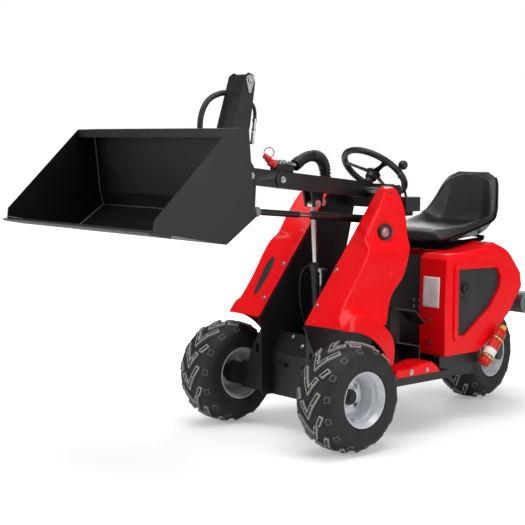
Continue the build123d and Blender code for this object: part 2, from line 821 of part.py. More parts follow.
def cylinder(label, foot, eye, y, barrel_r, rod_r, barrel_len):
    """Write a barrel pinned at foot and its rod, whose eye is at eye, as two pieces."""
    length = dist(foot, eye)
    with BuildPart() as barrel:
        with BuildSketch(rod_plane(foot, eye, y)):
            Circle(barrel_r)
        extrude(amount=barrel_len)
        with BuildSketch(side(y + eye_half)):
            with Locations(foot):
                Circle(eye_r + 3)
        extrude(amount=2 * eye_half)
        with BuildSketch(side(y + barrel_r + 1)):
            with Locations(foot):
                Circle(pin_r + run_fit)
        extrude(amount=2 * barrel_r + 2, mode=Mode.SUBTRACT)
        with BuildSketch(rod_plane(foot, eye, y, rod_start)):
            Circle(rod_r + run_fit)
        extrude(amount=barrel_len, mode=Mode.SUBTRACT)
    save(barrel, label + "_barrel")
    with BuildPart() as rod:
        with BuildSketch(rod_plane(foot, eye, y, barrel_len - rod_hidden)):
            Circle(rod_r)
        extrude(amount=length - barrel_len + rod_hidden)
        with BuildSketch(side(y + eye_half)):
            with Locations(eye):
                Circle(eye_r)
        extrude(amount=2 * eye_half)
    save(rod, label + "_rod")


rod_start = 40.0
rod_hidden = 60.0
cylinder("lift", lift_base, lift_eye, 0, lift_barrel_r, lift_rod_r, 375)
cylinder("level", link_rear, link_front, link_y, level_barrel_r, level_rod_r, 330)
cylinder("tilt", tilt_top, tilt_eye, 0, tilt_barrel_r, tilt_rod_r, 285)

# Bucket: sheet sides and back, floor with its cutting edge, and the lugs behind it
bucket_side = [(627, 1168), (550, 1170), (531, 938), (515, 885), (643, 798), (929, 852), (925, 888)]
with BuildPart() as bucket:
    for y0 in (bucket_w / 2, -bucket_w / 2 + sheet_t):
        with BuildSketch(side(y0)):
            with BuildLine():
                Polyline(*bucket_side, close=True)
            make_face()
        extrude(amount=sheet_t)
    with BuildSketch(side(bucket_w / 2)):
        with BuildLine():
            Polyline((627, 1168), (550, 1170), (531, 938), (515, 885), (643, 798), (929, 852),
                     (928.3, 856), (643.6, 802.4), (520, 886.7), (535, 937), (553.7, 1166), (627, 1164), close=True)
        make_face()
    extrude(amount=bucket_w)
    # Top edge of the back, folded into a closed rail
    with BuildSketch(side(bucket_w / 2 - sheet_t)):
        with BuildLine():
            Polyline((627, 1165), (627, 1165 - rail_w), (580, 1165 - rail_w), (560, 1165), close=True)
        make_face()
    extrude(amount=bucket_w - 2 * sheet_t)
    for y0 in (carrier_y + plate_t + 15, -carrier_y - plate_t - 5):
        with BuildSketch(side(y0)):
            with Locations(bucket_pin):
                Circle(28)
            with BuildLine():
                Polyline((410, 908), (410, 852), (516, 880), (531, 938), (533, 970), close=True)
            make_face()
        extrude(amount=10)
    for y0 in (eye_half + 11, -eye_half - 1):
        with BuildSketch(side(y0)):
            with Locations(tilt_eye):
                Circle(24)
            with BuildLine():
                Polyline((280, 876), (280, 828), (410, 850), (516, 880), (531, 938), (410, 910), close=True)
            make_face()
        extrude(amount=10)
    with BuildSketch(side(carrier_y + plate_t + 18)):
        with Locations(bucket_pin):
            Circle(pin_r)
    extrude(amount=2 * (carrier_y + plate_t + 18))
save(bucket, "bucket")

with BuildPart() as edge:
    with BuildSketch(side(bucket_w / 2)):
        with BuildLine():
            Polyline((930, 852), (edge_tip_x, 852), (edge_tip_x - 10, 843), (862, 828.6), (860.2, 838.6), close=True)
        make_face()
    extrude(amount=bucket_w)
save(edge, "cutting_edge")

# Round lamp on the outer face of each fairing, which turns back by lamp_turn
lamp_y = 249.0
lamp_r = 33.0
lamp_turn = 6.9
with BuildPart() as lamp:
    for out in (1, -1):
        facing_out = (math.sin(math.radians(lamp_turn)), out * math.cos(math.radians(lamp_turn)), 0)
        seat = (axle_x + lamp_at[0], out * lamp_y, lamp_at[1])
        with BuildSketch(Plane(origin=seat, x_dir=(0, 0, 1), z_dir=(-facing_out[1], facing_out[0], 0))):
            with BuildLine():
                # Half section: local x is the radius, local y is towards the front of the lamp
                Polyline((0, 0), (lamp_r, 0), (lamp_r, 9), (lamp_r - 4, 12), (lamp_r - 7, 9), (lamp_r / 2, 11.5),
                         (0, 12.5), close=True)
            make_face()
        revolve(axis=Axis(seat, facing_out))
save(lamp, "lamps")

# Small extinguisher can in its clip, low on the left of the cowl
can_low = (-781.0, 226.0)
can_high = (-913.0, 370.0)
can_r = 26.0
can_y = cowl_half + can_r + seat_fit
with BuildPart() as can:
    with BuildSketch(rod_plane(can_low, can_high, can_y)):
        Circle(can_r)
    extrude(amount=dist(can_low, can_high))
save(can, "extinguisher")

# Quick couplers on the boom, with their red caps
with BuildPart() as coupler:
    with BuildSketch(side(20)):
        with BuildLine():
            Polyline((-30, 1005.3), (60, 1015.3), (56, 1050), (-34, 1040), close=True)
        make_face()
    extrude(amount=40)
save(coupler, "coupler_block")
with BuildPart() as caps:
    for y0 in (18, -6):
        with BuildSketch(rod_plane((57.7, 1036), (93.4, 1040.1), y0)):
            Circle(12)
        extrude(amount=32)
save(caps, "coupler_caps")
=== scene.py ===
"""Mini loader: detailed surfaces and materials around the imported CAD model.

The file is laid out as an add-on and is run as a script. All sizes are metres in the frame of the
CAD model: +X forward, +Y to the driver's left, +Z up. Profiles keep x from the front axle line.
"""
import itertools
import json
import math

import bmesh
import bpy
import numpy as np
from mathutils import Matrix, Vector
from mathutils.bvhtree import BVHTree


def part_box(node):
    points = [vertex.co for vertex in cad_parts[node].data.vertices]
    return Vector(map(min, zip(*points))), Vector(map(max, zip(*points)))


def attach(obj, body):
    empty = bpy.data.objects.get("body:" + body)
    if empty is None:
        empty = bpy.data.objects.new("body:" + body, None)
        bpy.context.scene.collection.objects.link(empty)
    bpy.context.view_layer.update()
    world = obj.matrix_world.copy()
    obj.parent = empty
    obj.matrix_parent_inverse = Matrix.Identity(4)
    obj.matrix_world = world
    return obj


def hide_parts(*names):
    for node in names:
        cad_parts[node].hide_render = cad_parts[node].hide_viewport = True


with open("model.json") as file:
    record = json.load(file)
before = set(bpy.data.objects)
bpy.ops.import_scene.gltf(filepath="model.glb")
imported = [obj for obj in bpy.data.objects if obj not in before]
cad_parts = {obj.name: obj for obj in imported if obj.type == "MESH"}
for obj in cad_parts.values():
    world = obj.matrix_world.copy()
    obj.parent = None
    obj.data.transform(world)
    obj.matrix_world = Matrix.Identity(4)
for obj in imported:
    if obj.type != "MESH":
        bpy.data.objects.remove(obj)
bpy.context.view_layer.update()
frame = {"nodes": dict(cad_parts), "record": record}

bl_info = {
    "name": "Mini loader",
    "version": (1, 0, 0),
    "blender": (4, 5, 0),
    "location": "3D View > Sidebar > Loader",
    "description": "Builds the surfaces and finishes of a three-wheeled mini loader",
    "category": "Add Mesh",
}

NODES = frame["nodes"]
SLOTS = {row["node"]: row["material_slot"] for row in frame["record"]["subparts"]}
WHEEL_LOW, WHEEL_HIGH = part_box("tyre_front_left")
AXLE_X = (WHEEL_LOW.x + WHEEL_HIGH.x) / 2
TYRE_R = WHEEL_HIGH.z / 2
MM = 0.001


# Shader maths
class Value:
    """A node socket; Python's operators on it add Math nodes."""

    def __init__(self, tree, socket):
        self.tree = tree
        self.socket = socket

    def math(self, operation, *others):
        """One Math node on this value and the others."""
        node = self.tree.nodes.new("ShaderNodeMath")
        node.operation = operation
        for place, item in zip(node.inputs, (self, *others)):
            if isinstance(item, Value):
                self.tree.links.new(item.socket, place)
            else:
                place.default_value = item
        return Value(self.tree, node.outputs[0])

    def __add__(self, other):
        return self.math("ADD", other)

    __radd__ = __add__

    def __sub__(self, other):
        return self.math("SUBTRACT", other)

    def __mul__(self, other):
        return self.math("MULTIPLY", other)

    def __truediv__(self, other):
        return self.math("DIVIDE", other)

    def __pow__(self, other):
        return self.math("POWER", other)

    def least(self, other):
        return self.math("MINIMUM", other)

    def most(self, other):
        return self.math("MAXIMUM", other)

    def step(self, low, high):
        """0 below low, 1 above high, and a straight ramp between them."""
        return ((self - low) / (high - low)).most(0.0).least(1.0)


class Finish:
    """One material under construction: its nodes come from node(), its surface from done()."""

    def __init__(self, name):
        self.material = bpy.data.materials.new(name)
        self.material.use_nodes = True
        self.tree = self.material.node_tree
        self.shader = self.tree.nodes["Principled BSDF"]

    def node(self, kind, settings=(), output=0, **inputs):
        """A node of the given type: settings first, then inputs by socket name with _ for a space."""
        made = self.tree.nodes.new("ShaderNode" + kind)
        for key, value in dict(settings).items():
            setattr(made, key, value)
        for key, value in inputs.items():
            place = made.inputs[key.replace("_", " ")]
            if isinstance(value, Value):
                self.tree.links.new(value.socket, place)
            else:
                place.default_value = value
        return Value(self.tree, made.outputs[output])

    def coordinates(self):
        return self.node("TexCoord", output=3)

    def noise(self, scale, detail=3.0, rough=0.5):
        """Noise on Object coordinates."""
        return self.node("TexNoise", Vector=self.coordinates(), Scale=scale, Detail=detail, Roughness=rough)

    def mix(self, factor, a, b):
        """Colour a where factor is 0 and b where it is 1."""
        made = self.tree.nodes.new("ShaderNodeMix")
        made.data_type = "RGBA"
        for place, item in ((made.inputs[0], factor), (made.inputs[6], a), (made.inputs[7], b)):
            if isinstance(item, Value):
                self.tree.links.new(item.socket, place)
            else:
                place.default_value = item if isinstance(item, float) else (*item, 1.0)
        return Value(self.tree, made.outputs[2])

    def bump(self, height, distance, strength=1.0):
        return self.node("Bump", Height=height, Distance=distance, Strength=strength)

    def done(self, **inputs):
        """Sets the shader's sockets and gives the material."""
        for key, value in inputs.items():
            place = self.shader.inputs[key.replace("_", " ")]
            if isinstance(value, Value):
                self.tree.links.new(value.socket, place)
            elif isinstance(value, tuple):
                place.default_value = (*value, 1.0)
            else:
                place.default_value = value
        return self.material


def satin_paint(name, colour, rough=0.42, peel=1.0):
    """Powder coat: fine orange peel, and roughness and tone that drift over a hand's width."""
    f = Finish(name)
    drift = f.noise(6.0, 4.0)
    grain = f.noise(900.0, 2.0)
    tone = f.mix(drift.step(0.3, 0.7), tuple(c * 0.8 for c in colour), tuple(c * 1.25 for c in colour))
    return f.done(Base_Color=tone, Roughness=rough + (drift - 0.5) * 0.12 + (grain - 0.5) * 0.06,
                  Specular_IOR_Level=0.5, Normal=f.bump(grain, 0.0004 * peel, 0.5))


def gloss_moulding(name, colour):
    """Glossy moulded plastic: faint waviness under a clear coat, with fine dust in places."""
    f = Finish(name)
    wave = f.noise(9.0, 2.0)
    dust = f.noise(60.0, 5.0).step(0.62, 0.8)
    tone = f.mix(dust * 0.06, colour, (0.75, 0.6, 0.58))
    return f.done(Base_Color=tone, Roughness=0.3 + dust * 0.1, Specular_IOR_Level=0.12, Coat_Weight=0.22,
                  Coat_Roughness=0.05, Normal=f.bump(wave, 0.004, 0.08))


def matt_moulding(name, colour, rough=0.55, grain_scale=700.0, depth=0.0005):
    """Matt moulded plastic with a spark-eroded grain."""
    f = Finish(name)
    grain = f.noise(grain_scale, 3.0, 0.6)
    drift = f.noise(12.0, 3.0)
    tone = f.mix(drift.step(0.3, 0.75), tuple(c * 0.85 for c in colour), tuple(c * 1.2 for c in colour))
    return f.done(Base_Color=tone, Roughness=rough + (grain - 0.5) * 0.15, Normal=f.bump(grain, depth, 0.6))


def vinyl(name, colour):
    """Seat vinyl: small leather cells, and creases that run between them."""
    f = Finish(name)
    cells = f.node("TexVoronoi", {"feature": "DISTANCE_TO_EDGE"}, Vector=f.coordinates(), Scale=420.0)
    fold = f.noise(45.0, 4.0)
    height = cells.step(0.0, 0.12) * 0.6 + fold * 0.4
    tone = f.mix(fold.step(0.35, 0.7), colour, tuple(c * 1.5 for c in colour))
    return f.done(Base_Color=tone, Roughness=0.3 + fold * 0.12, Specular_IOR_Level=0.5,
                  Normal=f.bump(height, 0.0006, 0.5))


def tyre_rubber(name, colour, painted_highlight):
    """Tyre rubber: a painted highlight, pale grey along the lugs' top edges from the attribute rim_of_lug,
    and a dusty drift.
    """
    f = Finish(name)
    edge = f.node("Attribute", {"attribute_name": "rim_of_lug"}, output=2)
    dust = f.noise(26.0, 5.0)
    grain = f.noise(800.0, 2.0)
    dull = f.mix(dust.step(0.42, 0.75), colour, tuple(c * 1.7 for c in colour))
    # Painted highlight: the lugs' top edges turn pale grey where rim_of_lug is set
    tone = f.mix(edge * (f.noise(70.0, 3.0).step(0.25, 0.5) * 0.35 + 0.65), dull, painted_highlight)
    return f.done(Base_Color=tone, Roughness=0.62 + (dust - 0.5) * 0.2, Specular_IOR_Level=0.4,
                  Normal=f.bump(grain, 0.0005, 0.5))


def metal(name, colour, rough, scale=240.0, streak=0.1, metallic=1.0):
    """Bare or plated metal: fine uneven roughness and a slight cloud in its tone."""
    f = Finish(name)
    cloud = f.noise(30.0, 4.0)
    fine = f.noise(scale, 4.0)
    tone = f.mix(cloud.step(0.3, 0.7), tuple(c * 0.86 for c in colour), colour)
    return f.done(Base_Color=tone, Metallic=metallic, Roughness=rough + (fine - 0.5) * streak,
                  Normal=f.bump(fine, 0.0002, 0.3))


def lens(name, colour):
    """Clear lens over a reflector: faint prisms under a smooth coat."""
    f = Finish(name)
    prism = f.node("TexWave", {"bands_direction": "Z"}, Vector=f.coordinates(), Scale=90.0)
    tone = f.mix(prism, colour, tuple(min(1.0, c * 3.2) for c in colour))
    return f.done(Base_Color=tone, Roughness=0.12 + prism * 0.06, Coat_Weight=1.0, Coat_Roughness=0.02,
                  Normal=f.bump(prism, 0.0006, 0.4))


def rubber_hose(name, colour):
    """Wrapped hydraulic hose: a fine textile print across its rubber."""
    f = Finish(name)
    wrap = f.noise(900.0, 2.0)
    scuff = f.noise(40.0, 4.0).step(0.5, 0.75)
    tone = f.mix(scuff, colour, tuple(c * 2.4 for c in colour))
    return f.done(Base_Color=tone, Roughness=0.5 + scuff * 0.15, Normal=f.bump(wrap, 0.0004, 0.6))


def make_finishes(settings):
    """Every material of the loader, by the name that the pieces use."""
    return {
        "black_steel": satin_paint("black powder coat", (0.0105, 0.0106, 0.011), 0.36),
        # Painted shade: the bucket's black is a darker copy of black_steel, set to match the shaded inside of
        # the bucket
        "bucket_black": satin_paint("bucket powder coat darkened as painted shade", (0.0032, 0.0034, 0.0037), 0.42),
        "worn_steel": satin_paint("edge powder coat", (0.016, 0.0165, 0.018), 0.4),
        "red_plastic": gloss_moulding("red gloss moulding", tuple(settings.moulding_colour)),
        "grey_plastic": matt_moulding("dark grey moulding", (0.02, 0.02, 0.021)),
        "black_plastic": matt_moulding("black moulding", (0.008, 0.008, 0.0085), 0.38),
        "black_vinyl": vinyl("black vinyl", (0.008, 0.008, 0.0085)),
        # The pale third colour is a painted highlight along the lugs' top edges
        "tyre_rubber": tyre_rubber("tyre rubber", (0.013, 0.0135, 0.0145), (0.42, 0.40, 0.37)),
        "rim_grey": metal("silver wheel paint", tuple(settings.rim_colour), 0.34, metallic=0.25),
        "motor_iron": satin_paint("black cast iron", (0.01, 0.01, 0.011), 0.5, 3.0),
        "chrome": metal("hard chrome", (0.78, 0.79, 0.81), 0.12, 500.0, 0.05),
        "zinc_steel": metal("zinc plating", (0.66, 0.67, 0.68), 0.32),
        "muffler_steel": metal("muffler steel", (0.30, 0.30, 0.295), 0.5),
        "cap_red": matt_moulding("soft red cap", (0.62, 0.012, 0.02), 0.38),
        "can_red": gloss_moulding("red can", (0.62, 0.02, 0.012)),
        "can_yellow": matt_moulding("yellow cap", (0.7, 0.42, 0.02), 0.4),
        "yellow_zinc": metal("yellow zinc plating", (0.72, 0.52, 0.2), 0.34),
        "label_white": matt_moulding("blank label", (0.8, 0.8, 0.78), 0.45, 300.0, 0.0001),
        "lens": lens("lamp lens", (0.2, 0.07, 0.09)),
        "rubber_hose": rubber_hose("hose rubber", (0.012, 0.012, 0.012)),
        "weld": metal("painted weld", (0.2, 0.2, 0.2), 0.42, 400.0, 0.2, 0.3),
    }


# Stage
# Camera: place from the front axle line in metres, turn and dip in degrees
CAMERA_PLACE = (3.157594, 3.571692, 1.144664)
CAMERA_TURN = 139.528477
CAMERA_DIP = 5.739636
# Focal length in pixels of the photograph, and the photograph's width
CAMERA_FOCAL, PHOTO_WIDTH = 1260.557, 525.0
SENSOR_WIDTH = 36.0
FLOOR_HALF = 12.0
# Strength of the white world for the object, and what its glossy reflections lack of that
WORLD_LIGHT, GLOSS_LOSS = 0.42, 0.3
# Lamp columns: name, place, what it looks at, watts, width, height
STUDIO_LAMPS = (
    ("top softbox", (0.6, 0.4, 3.6), (0.0, 0.0, 0.5), 85.0, 3.2, 2.6),
    ("front softbox", (3.6, -1.2, 1.9), (0.2, 0.0, 0.6), 48.0, 1.6, 2.4),
    ("left softbox", (-0.8, 3.9, 1.8), (-0.2, 0.0, 0.6), 48.0, 2.2, 2.2),
    ("back softbox", (-2.8, -2.6, 2.4), (-0.2, 0.0, 0.6), 40.0, 2.0, 2.0),
)


class LOADER_OT_stage(bpy.types.Operator):
    """Floor, soft studio light and the camera at the photograph's angle"""

    bl_idname = "loader.stage"
    bl_label = "Stage"

    def execute(self, context):
        scene = context.scene
        scene.view_settings.view_transform = "Standard"
        h = FLOOR_HALF
        corners = [(-h, -h, 0), (h, -h, 0), (h, h, 0), (-h, h, 0)]
        floor = new_mesh("floor", corners, [(0, 1, 2, 3)], floor_finish())
        world = bpy.data.worlds.new("studio")
        world.use_nodes = True
        scene.world = world
        tree = world.node_tree
        background = tree.nodes["Background"]
        rays = tree.nodes.new("ShaderNodeLightPath").outputs
        shown = Value(tree, rays["Is Camera Ray"]).most(Value(tree, rays["Is Transmission Ray"]))
        glossy = Value(tree, rays["Is Glossy Ray"])
        strength = WORLD_LIGHT + shown * (1 - WORLD_LIGHT) - glossy * GLOSS_LOSS
        tree.links.new(strength.socket, background.inputs["Strength"])
        background.inputs["Color"].default_value = (1, 1, 1, 1)
        for name, place, aim, power, wide, high in STUDIO_LAMPS:
            data = bpy.data.lights.new(name, "AREA")
            data.shape = "RECTANGLE"
            data.energy = power
            data.size, data.size_y = wide, high
            lamp = bpy.data.objects.new(name, data)
            scene.collection.objects.link(lamp)
            lamp.location = place
            lamp.rotation_euler = direction(place, aim).to_track_quat("-Z", "Y").to_euler()
        data = bpy.data.cameras.new("photograph")
        data.sensor_width = SENSOR_WIDTH
        data.lens = CAMERA_FOCAL * SENSOR_WIDTH / PHOTO_WIDTH
        camera = bpy.data.objects.new("photograph", data)
        scene.collection.objects.link(camera)
        scene.camera = camera
        camera.location = (CAMERA_PLACE[0] + AXLE_X, CAMERA_PLACE[1], CAMERA_PLACE[2])
        turn, dip = math.radians(CAMERA_TURN), math.radians(CAMERA_DIP)
        back = (math.sin(turn) * math.cos(dip), -math.cos(turn) * math.cos(dip), math.sin(dip))
        camera.rotation_euler = direction(back, (0, 0, 0)).to_track_quat("-Z", "Y").to_euler()
        return {"FINISHED"}


def direction(a, b):
    """Unit vector from a to b."""
    return (Vector(b) - Vector(a)).normalized()


def floor_finish():
    """White floor: shows as white to the camera and still takes the object's shadow."""
    f = Finish("white floor")
    seen = f.node("LightPath", output=0)
    drift = f.noise(1.5, 2.0)
    spot = f.coordinates()
    across, along = (f.node("SeparateXYZ", output=k, Vector=spot) for k in (0, 1))
    far = ((across * across + along * along) ** 0.5).step(1.3, 2.6)
    glow = f.mix(seen * (far * 0.72 + 0.28), (0.0, 0.0, 0.0), (1.0, 1.0, 1.0))
    return f.done(Base_Color=(0.86, 0.86, 0.86), Roughness=0.9 + drift * 0.02,
                  Emission_Color=glow, Emission_Strength=1.0)


def new_mesh(name, points, faces, material, smooth=False):
    """A mesh object at the origin from points (n, 3) and faces."""
    mesh = bpy.data.meshes.new(name)
    mesh.from_pydata(np.asarray(points, float).tolist(), [], [tuple(int(i) for i in f) for f in faces])
    mesh.materials.append(material)
    mesh.polygons.foreach_set("use_smooth", np.full(len(mesh.polygons), smooth))
    mesh.update()
    made = bpy.data.objects.new(name, mesh)
    bpy.context.scene.collection.objects.link(made)
    return made


# Surfaces
def place(x, y, z):
    """Point in metres from millimetres, with x measured from the front axle line."""
    return np.array([x * MM + AXLE_X, y * MM, z * MM])


def rounded(points, rounds=3, closed=False):
    """Corner cutting: each round swaps every corner for points at 1/4 and 3/4 of its two runs."""
    p = np.asarray(points, float)
    for _ in range(rounds):
        after = np.roll(p, -1, 0) if closed else p[1:]
        before = p if closed else p[:-1]
        cut = np.stack([0.75 * before + 0.25 * after, 0.25 * before + 0.75 * after], 1)
        cut = cut.reshape(-1, p.shape[1])
        p = cut if closed else np.vstack([p[:1], cut[1:-1], p[-1:]])
    return p


def resampled(points, count):
    """count points at equal steps along a line."""
    p = np.asarray(points, float)
    run = np.concatenate([[0], np.cumsum(np.linalg.norm(np.diff(p, axis=0), axis=1))])
    at = np.linspace(0, run[-1], count)
    return np.stack([np.interp(at, run, p[:, k]) for k in range(p.shape[1])], 1)


def bent(points, count, at=(0, 0, 0)):
    """Round-cornered line through points in millimetres, shifted by at, as count points."""
    return resampled(rounded([place(*np.add(at, p)) for p in points], 4), count)


def circle(centre, radius, u, v, t):
    """Places centre + radius * (cos t * u + sin t * v)."""
    return centre + radius * (np.cos(t)[:, None] * u + np.sin(t)[:, None] * v)


def unit(v):
    """Rows of v scaled to length 1."""
    v = np.asarray(v, float)
    return v / np.linalg.norm(v, axis=-1, keepdims=True)


def grid_faces(rows, cols, close_rows=False, close_cols=False):
    """Quads of a grid of rows x cols points numbered row by row."""
    r = np.arange(rows if close_rows else rows - 1)[:, None]
    c = np.arange(cols if close_cols else cols - 1)[None, :]
    after_r, after_c = (r + 1) % rows, (c + 1) % cols
    corners = (r * cols + c, r * cols + after_c, after_r * cols + after_c, after_r * cols + c)
    return np.stack(corners, -1).reshape(-1, 4)


def ease_edges(made, width, angle):
    """Bevel on the edges that are sharper than an angle in degrees."""
    ease = made.modifiers.new("edges", "BEVEL")
    ease.width, ease.segments, ease.limit_method = width, 2, "ANGLE"
    ease.angle_limit = math.radians(angle)
    ease.harden_normals = True


class Piece:
    """Surfaces gathered into one mesh, each given as points and faces."""

    def __init__(self, name, finish, body):
        self.name, self.finish, self.body = name, finish, body
        self.points, self.faces, self.edge, self.count = [], [], [], 0

    def add(self, points, faces, edge=0.0):
        points = np.asarray(points, float).reshape(-1, 3)
        self.points.append(points)
        self.faces += [tuple(int(i) + self.count for i in face) for face in faces]
        edge = np.ravel(edge)
        self.edge.append(np.broadcast_to(edge, (len(points),)) if len(edge) == 1 else edge)
        self.count += len(points)
        return self

    def grid(self, points, close_rows=False, close_cols=False, edge=0.0):
        """A grid of points (rows, cols, 3)."""
        rows, cols = points.shape[:2]
        return self.add(points, grid_faces(rows, cols, close_rows, close_cols), edge)

    def turned(self, profile, centre, axis, count=32, up=(0, 0, 1)):
        """Surface of revolution: p = centre + along * axis + radius * (cos t * u + sin t * v).

        The profile's columns are radius and distance along the axis, in millimetres.
        """
        profile = np.asarray(profile, float) * MM
        axis = unit(axis)
        u = np.cross(axis, up)
        u = unit(u if np.linalg.norm(u) > 1e-3 else np.cross(axis, (1, 0, 0)))
        v = np.cross(axis, u)
        t = np.linspace(0, 2 * np.pi, count, endpoint=False)
        radius, along = profile[:, 0, None, None], profile[:, 1, None, None]
        return self.grid(np.asarray(centre) + along * axis + radius * circle(0, 1, u, v, t), close_cols=True)

    def tube(self, path, radius, sides=12, up=(0, 0, 1), close=False):
        """Round tube along a path: u = T x up, v = u x T, and the ends closed unless the path is."""
        path = np.asarray(path, float)
        run = np.roll(path, -1, 0) - np.roll(path, 1, 0) if close else np.gradient(path, axis=0)
        along = unit(run)
        u = unit(np.cross(along, up))
        v = np.cross(u, along)
        t = np.linspace(0, 2 * np.pi, sides, endpoint=False)
        r = np.broadcast_to(radius, (len(path),))[:, None, None]
        ring = np.cos(t)[None, :, None] * u[:, None] + np.sin(t)[None, :, None] * v[:, None]
        points = path[:, None] + r * ring
        if not close:
            points = np.concatenate([np.broadcast_to(path[:1, None], (1, sides, 3)), points,
                                     np.broadcast_to(path[-1:, None], (1, sides, 3))])
        return self.grid(points, close_rows=close, close_cols=True)

    def slab(self, outline, start, end):
        """Flat outline (n, 3) at start, and again at end: both are offsets; sides join the two."""
        outline = np.asarray(outline, float)
        n = len(outline)
        sides = grid_faces(2, n, close_cols=True)
        ends = [tuple(range(n - 1, -1, -1)), tuple(range(n, 2 * n))]
        return self.add(np.vstack([outline + start, outline + end]), [*map(tuple, sides), *ends])

    def side_plate(self, outline, y0, y1):
        """Side-view outline in millimetres from the axle line, between y0 and y1."""
        flat = np.array([place(x, 0, z) for x, z in outline])
        return self.slab(flat, (0, y0 * MM, 0), (0, y1 * MM, 0))

    def bolt(self, at, axis, radius, head=0.6, washer=True):
        """Hexagon head with its chamfer, on a washer: radius in millimetres, head as a share of it."""
        at, axis = np.asarray(at, float), unit(axis)
        rise = 0.0
        if washer:
            rise = radius * 0.22
            self.turned([(0, 0), (radius * 1.5, 0), (radius * 1.5, rise), (0, rise)], at, axis, 20)
        top = rise + radius * head
        hexagon = [(0, rise), (radius, rise), (radius, top * 0.86), (radius * 0.86, top), (0, top)]
        self.turned(hexagon, at, axis, 6)
        return self

    def done(self, replaces=(), bevel=0.0, smooth=40.0, subdivide=0, thick=0.0):
        """Makes the object: joined seams, outward normals, finish, attribute, modifiers and body."""
        made = new_mesh(self.name, np.vstack(self.points), self.faces, FINISHES[self.finish], True)
        mesh = made.data
        edge = np.concatenate(self.edge)
        if edge.any():
            attribute = mesh.attributes.new("rim_of_lug", "FLOAT", "POINT")
            attribute.data.foreach_set("value", edge.astype(np.float32))
        build = bmesh.new()
        build.from_mesh(mesh)
        bmesh.ops.remove_doubles(build, verts=build.verts, dist=1e-6)
        bmesh.ops.dissolve_degenerate(build, edges=build.edges, dist=1e-7)
        if not thick:
            bmesh.ops.recalc_face_normals(build, faces=build.faces)
        build.to_mesh(mesh)
        build.free()
        mesh.set_sharp_from_angle(angle=math.radians(smooth))
        if thick:
            solid = made.modifiers.new("thickness", "SOLIDIFY")
            solid.thickness, solid.offset = thick, -1.0
        if bevel:
            ease_edges(made, bevel, 38)
        if subdivide:
            soft = made.modifiers.new("surface", "SUBSURF")
            soft.levels = soft.render_levels = subdivide
        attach(made, self.body)
        if replaces:
            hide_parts(*replaces)
        return made


def laid(under, start_x, spots, lifts):
    """Points on an object's front, cast along -X and lifted off by row: spots are rows of (y, z) in mm."""
    mesh = under.evaluated_get(bpy.context.evaluated_depsgraph_get()).to_mesh()
    tree = BVHTree.FromPolygons([v.co for v in mesh.vertices], [f.vertices for f in mesh.polygons])
    rows = []
    for row, lift in zip(spots, lifts):
        found = [tree.ray_cast((start_x, y * MM, z * MM), (-1, 0, 0)) for y, z in row]
        rows.append([hit[0] + hit[1] * (lift if hit[1].x > 0 else -lift) for hit in found])
    return np.array(rows)


def eased(node, body, finish, width=0.0012):
    """The CAD node's own form with its hard edges eased, so that they catch the light."""
    mesh = NODES[node].data.copy()
    build = bmesh.new()
    build.from_mesh(mesh)
    bmesh.ops.remove_doubles(build, verts=build.verts, dist=2e-6)
    bmesh.ops.dissolve_limit(build, angle_limit=math.radians(0.6), verts=build.verts, edges=build.edges)
    bmesh.ops.recalc_face_normals(build, faces=build.faces)
    build.to_mesh(mesh)
    build.free()
    mesh.materials.clear()
    mesh.materials.append(FINISHES[finish])
    mesh.polygons.foreach_set("use_smooth", np.full(len(mesh.polygons), True))
    mesh.set_sharp_from_angle(angle=math.radians(35))
    made = bpy.data.objects.new(node + "_form", mesh)
    bpy.context.scene.collection.objects.link(made)
    ease_edges(made, width, 35)
    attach(made, body)
    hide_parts(node)
    return made


# Wheels
# Wheel columns: name, body, turn of the wheel in degrees, side that the dish faces
WHEELS = (
    ("front_left", "front_left_wheel", 0.0, 1),
    ("front_right", "front_right_wheel", 0.0, -1),
    ("rear", "rear_wheel", 9.9, 1),
)
LUG_PITCHES = 14
# Carcass section, radius and distance from the middle, in millimetres
CARCASS = ((192, 0), (192, 26), (190.5, 46), (186, 64), (177, 80), (164, 91.5), (148, 95.5), (130, 94.5),
           (116, 91.5), (113, 93), (109, 92.5), (106, 89), (99, 80))
# Lug columns: centreline on the flattened tread as (round, across), width
LUGS = (
    (((44, -50), (-44, 0), (7, 28)), 15.0),
    (((14.5, 40.4), (49.5, 59.6)), 15.0),
)
FINS = ((((26, 71), (26, 91)), 26.0),)


class Wheel:
    """Places points of a wheel: round the axle, across the tread and out from the carcass."""

    def __init__(self, name, turn):
        low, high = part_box("tyre_" + name)
        self.centre = np.array([(low.x + high.x) / 2, (low.y + high.y) / 2, (low.z + high.z) / 2])
        c, s = math.cos(math.radians(turn)), math.sin(math.radians(turn))
        self.ahead, self.left = np.array([c, s, 0.0]), np.array([-s, c, 0.0])
        half = rounded(CARCASS, 3)
        section = np.vstack([half[:0:-1] * (1, -1), half])
        self.run = np.concatenate([[0], np.cumsum(np.linalg.norm(np.diff(section, axis=0), axis=1))])
        self.run -= self.run[-1] / 2
        along = np.gradient(section, self.run, axis=0)
        self.section, self.out = section, unit(np.stack([along[:, 1], -along[:, 0]], 1))

    def spoke(self, turn, radius):
        """A place on the middle plane, at a turn about the axle and a radius."""
        return self.centre + radius * (math.cos(turn) * self.ahead + math.sin(turn) * np.array([0, 0, 1.0]))

    def at(self, angle, across, height):
        """centre + (r + h n_r)(cos a ahead + sin a up) + (w + h n_w) left, for the section's point (r, w)."""
        r, w = (np.interp(across, self.run, self.section[:, k]) for k in (0, 1))
        nr, nw = (np.interp(across, self.run, self.out[:, k]) for k in (0, 1))
        r, w = (r + height * nr) * MM, (w + height * nw) * MM
        around = np.cos(angle)[..., None] * self.ahead + np.sin(angle)[..., None] * np.array([0, 0, 1.0])
        return self.centre + r[..., None] * around + w[..., None] * self.left


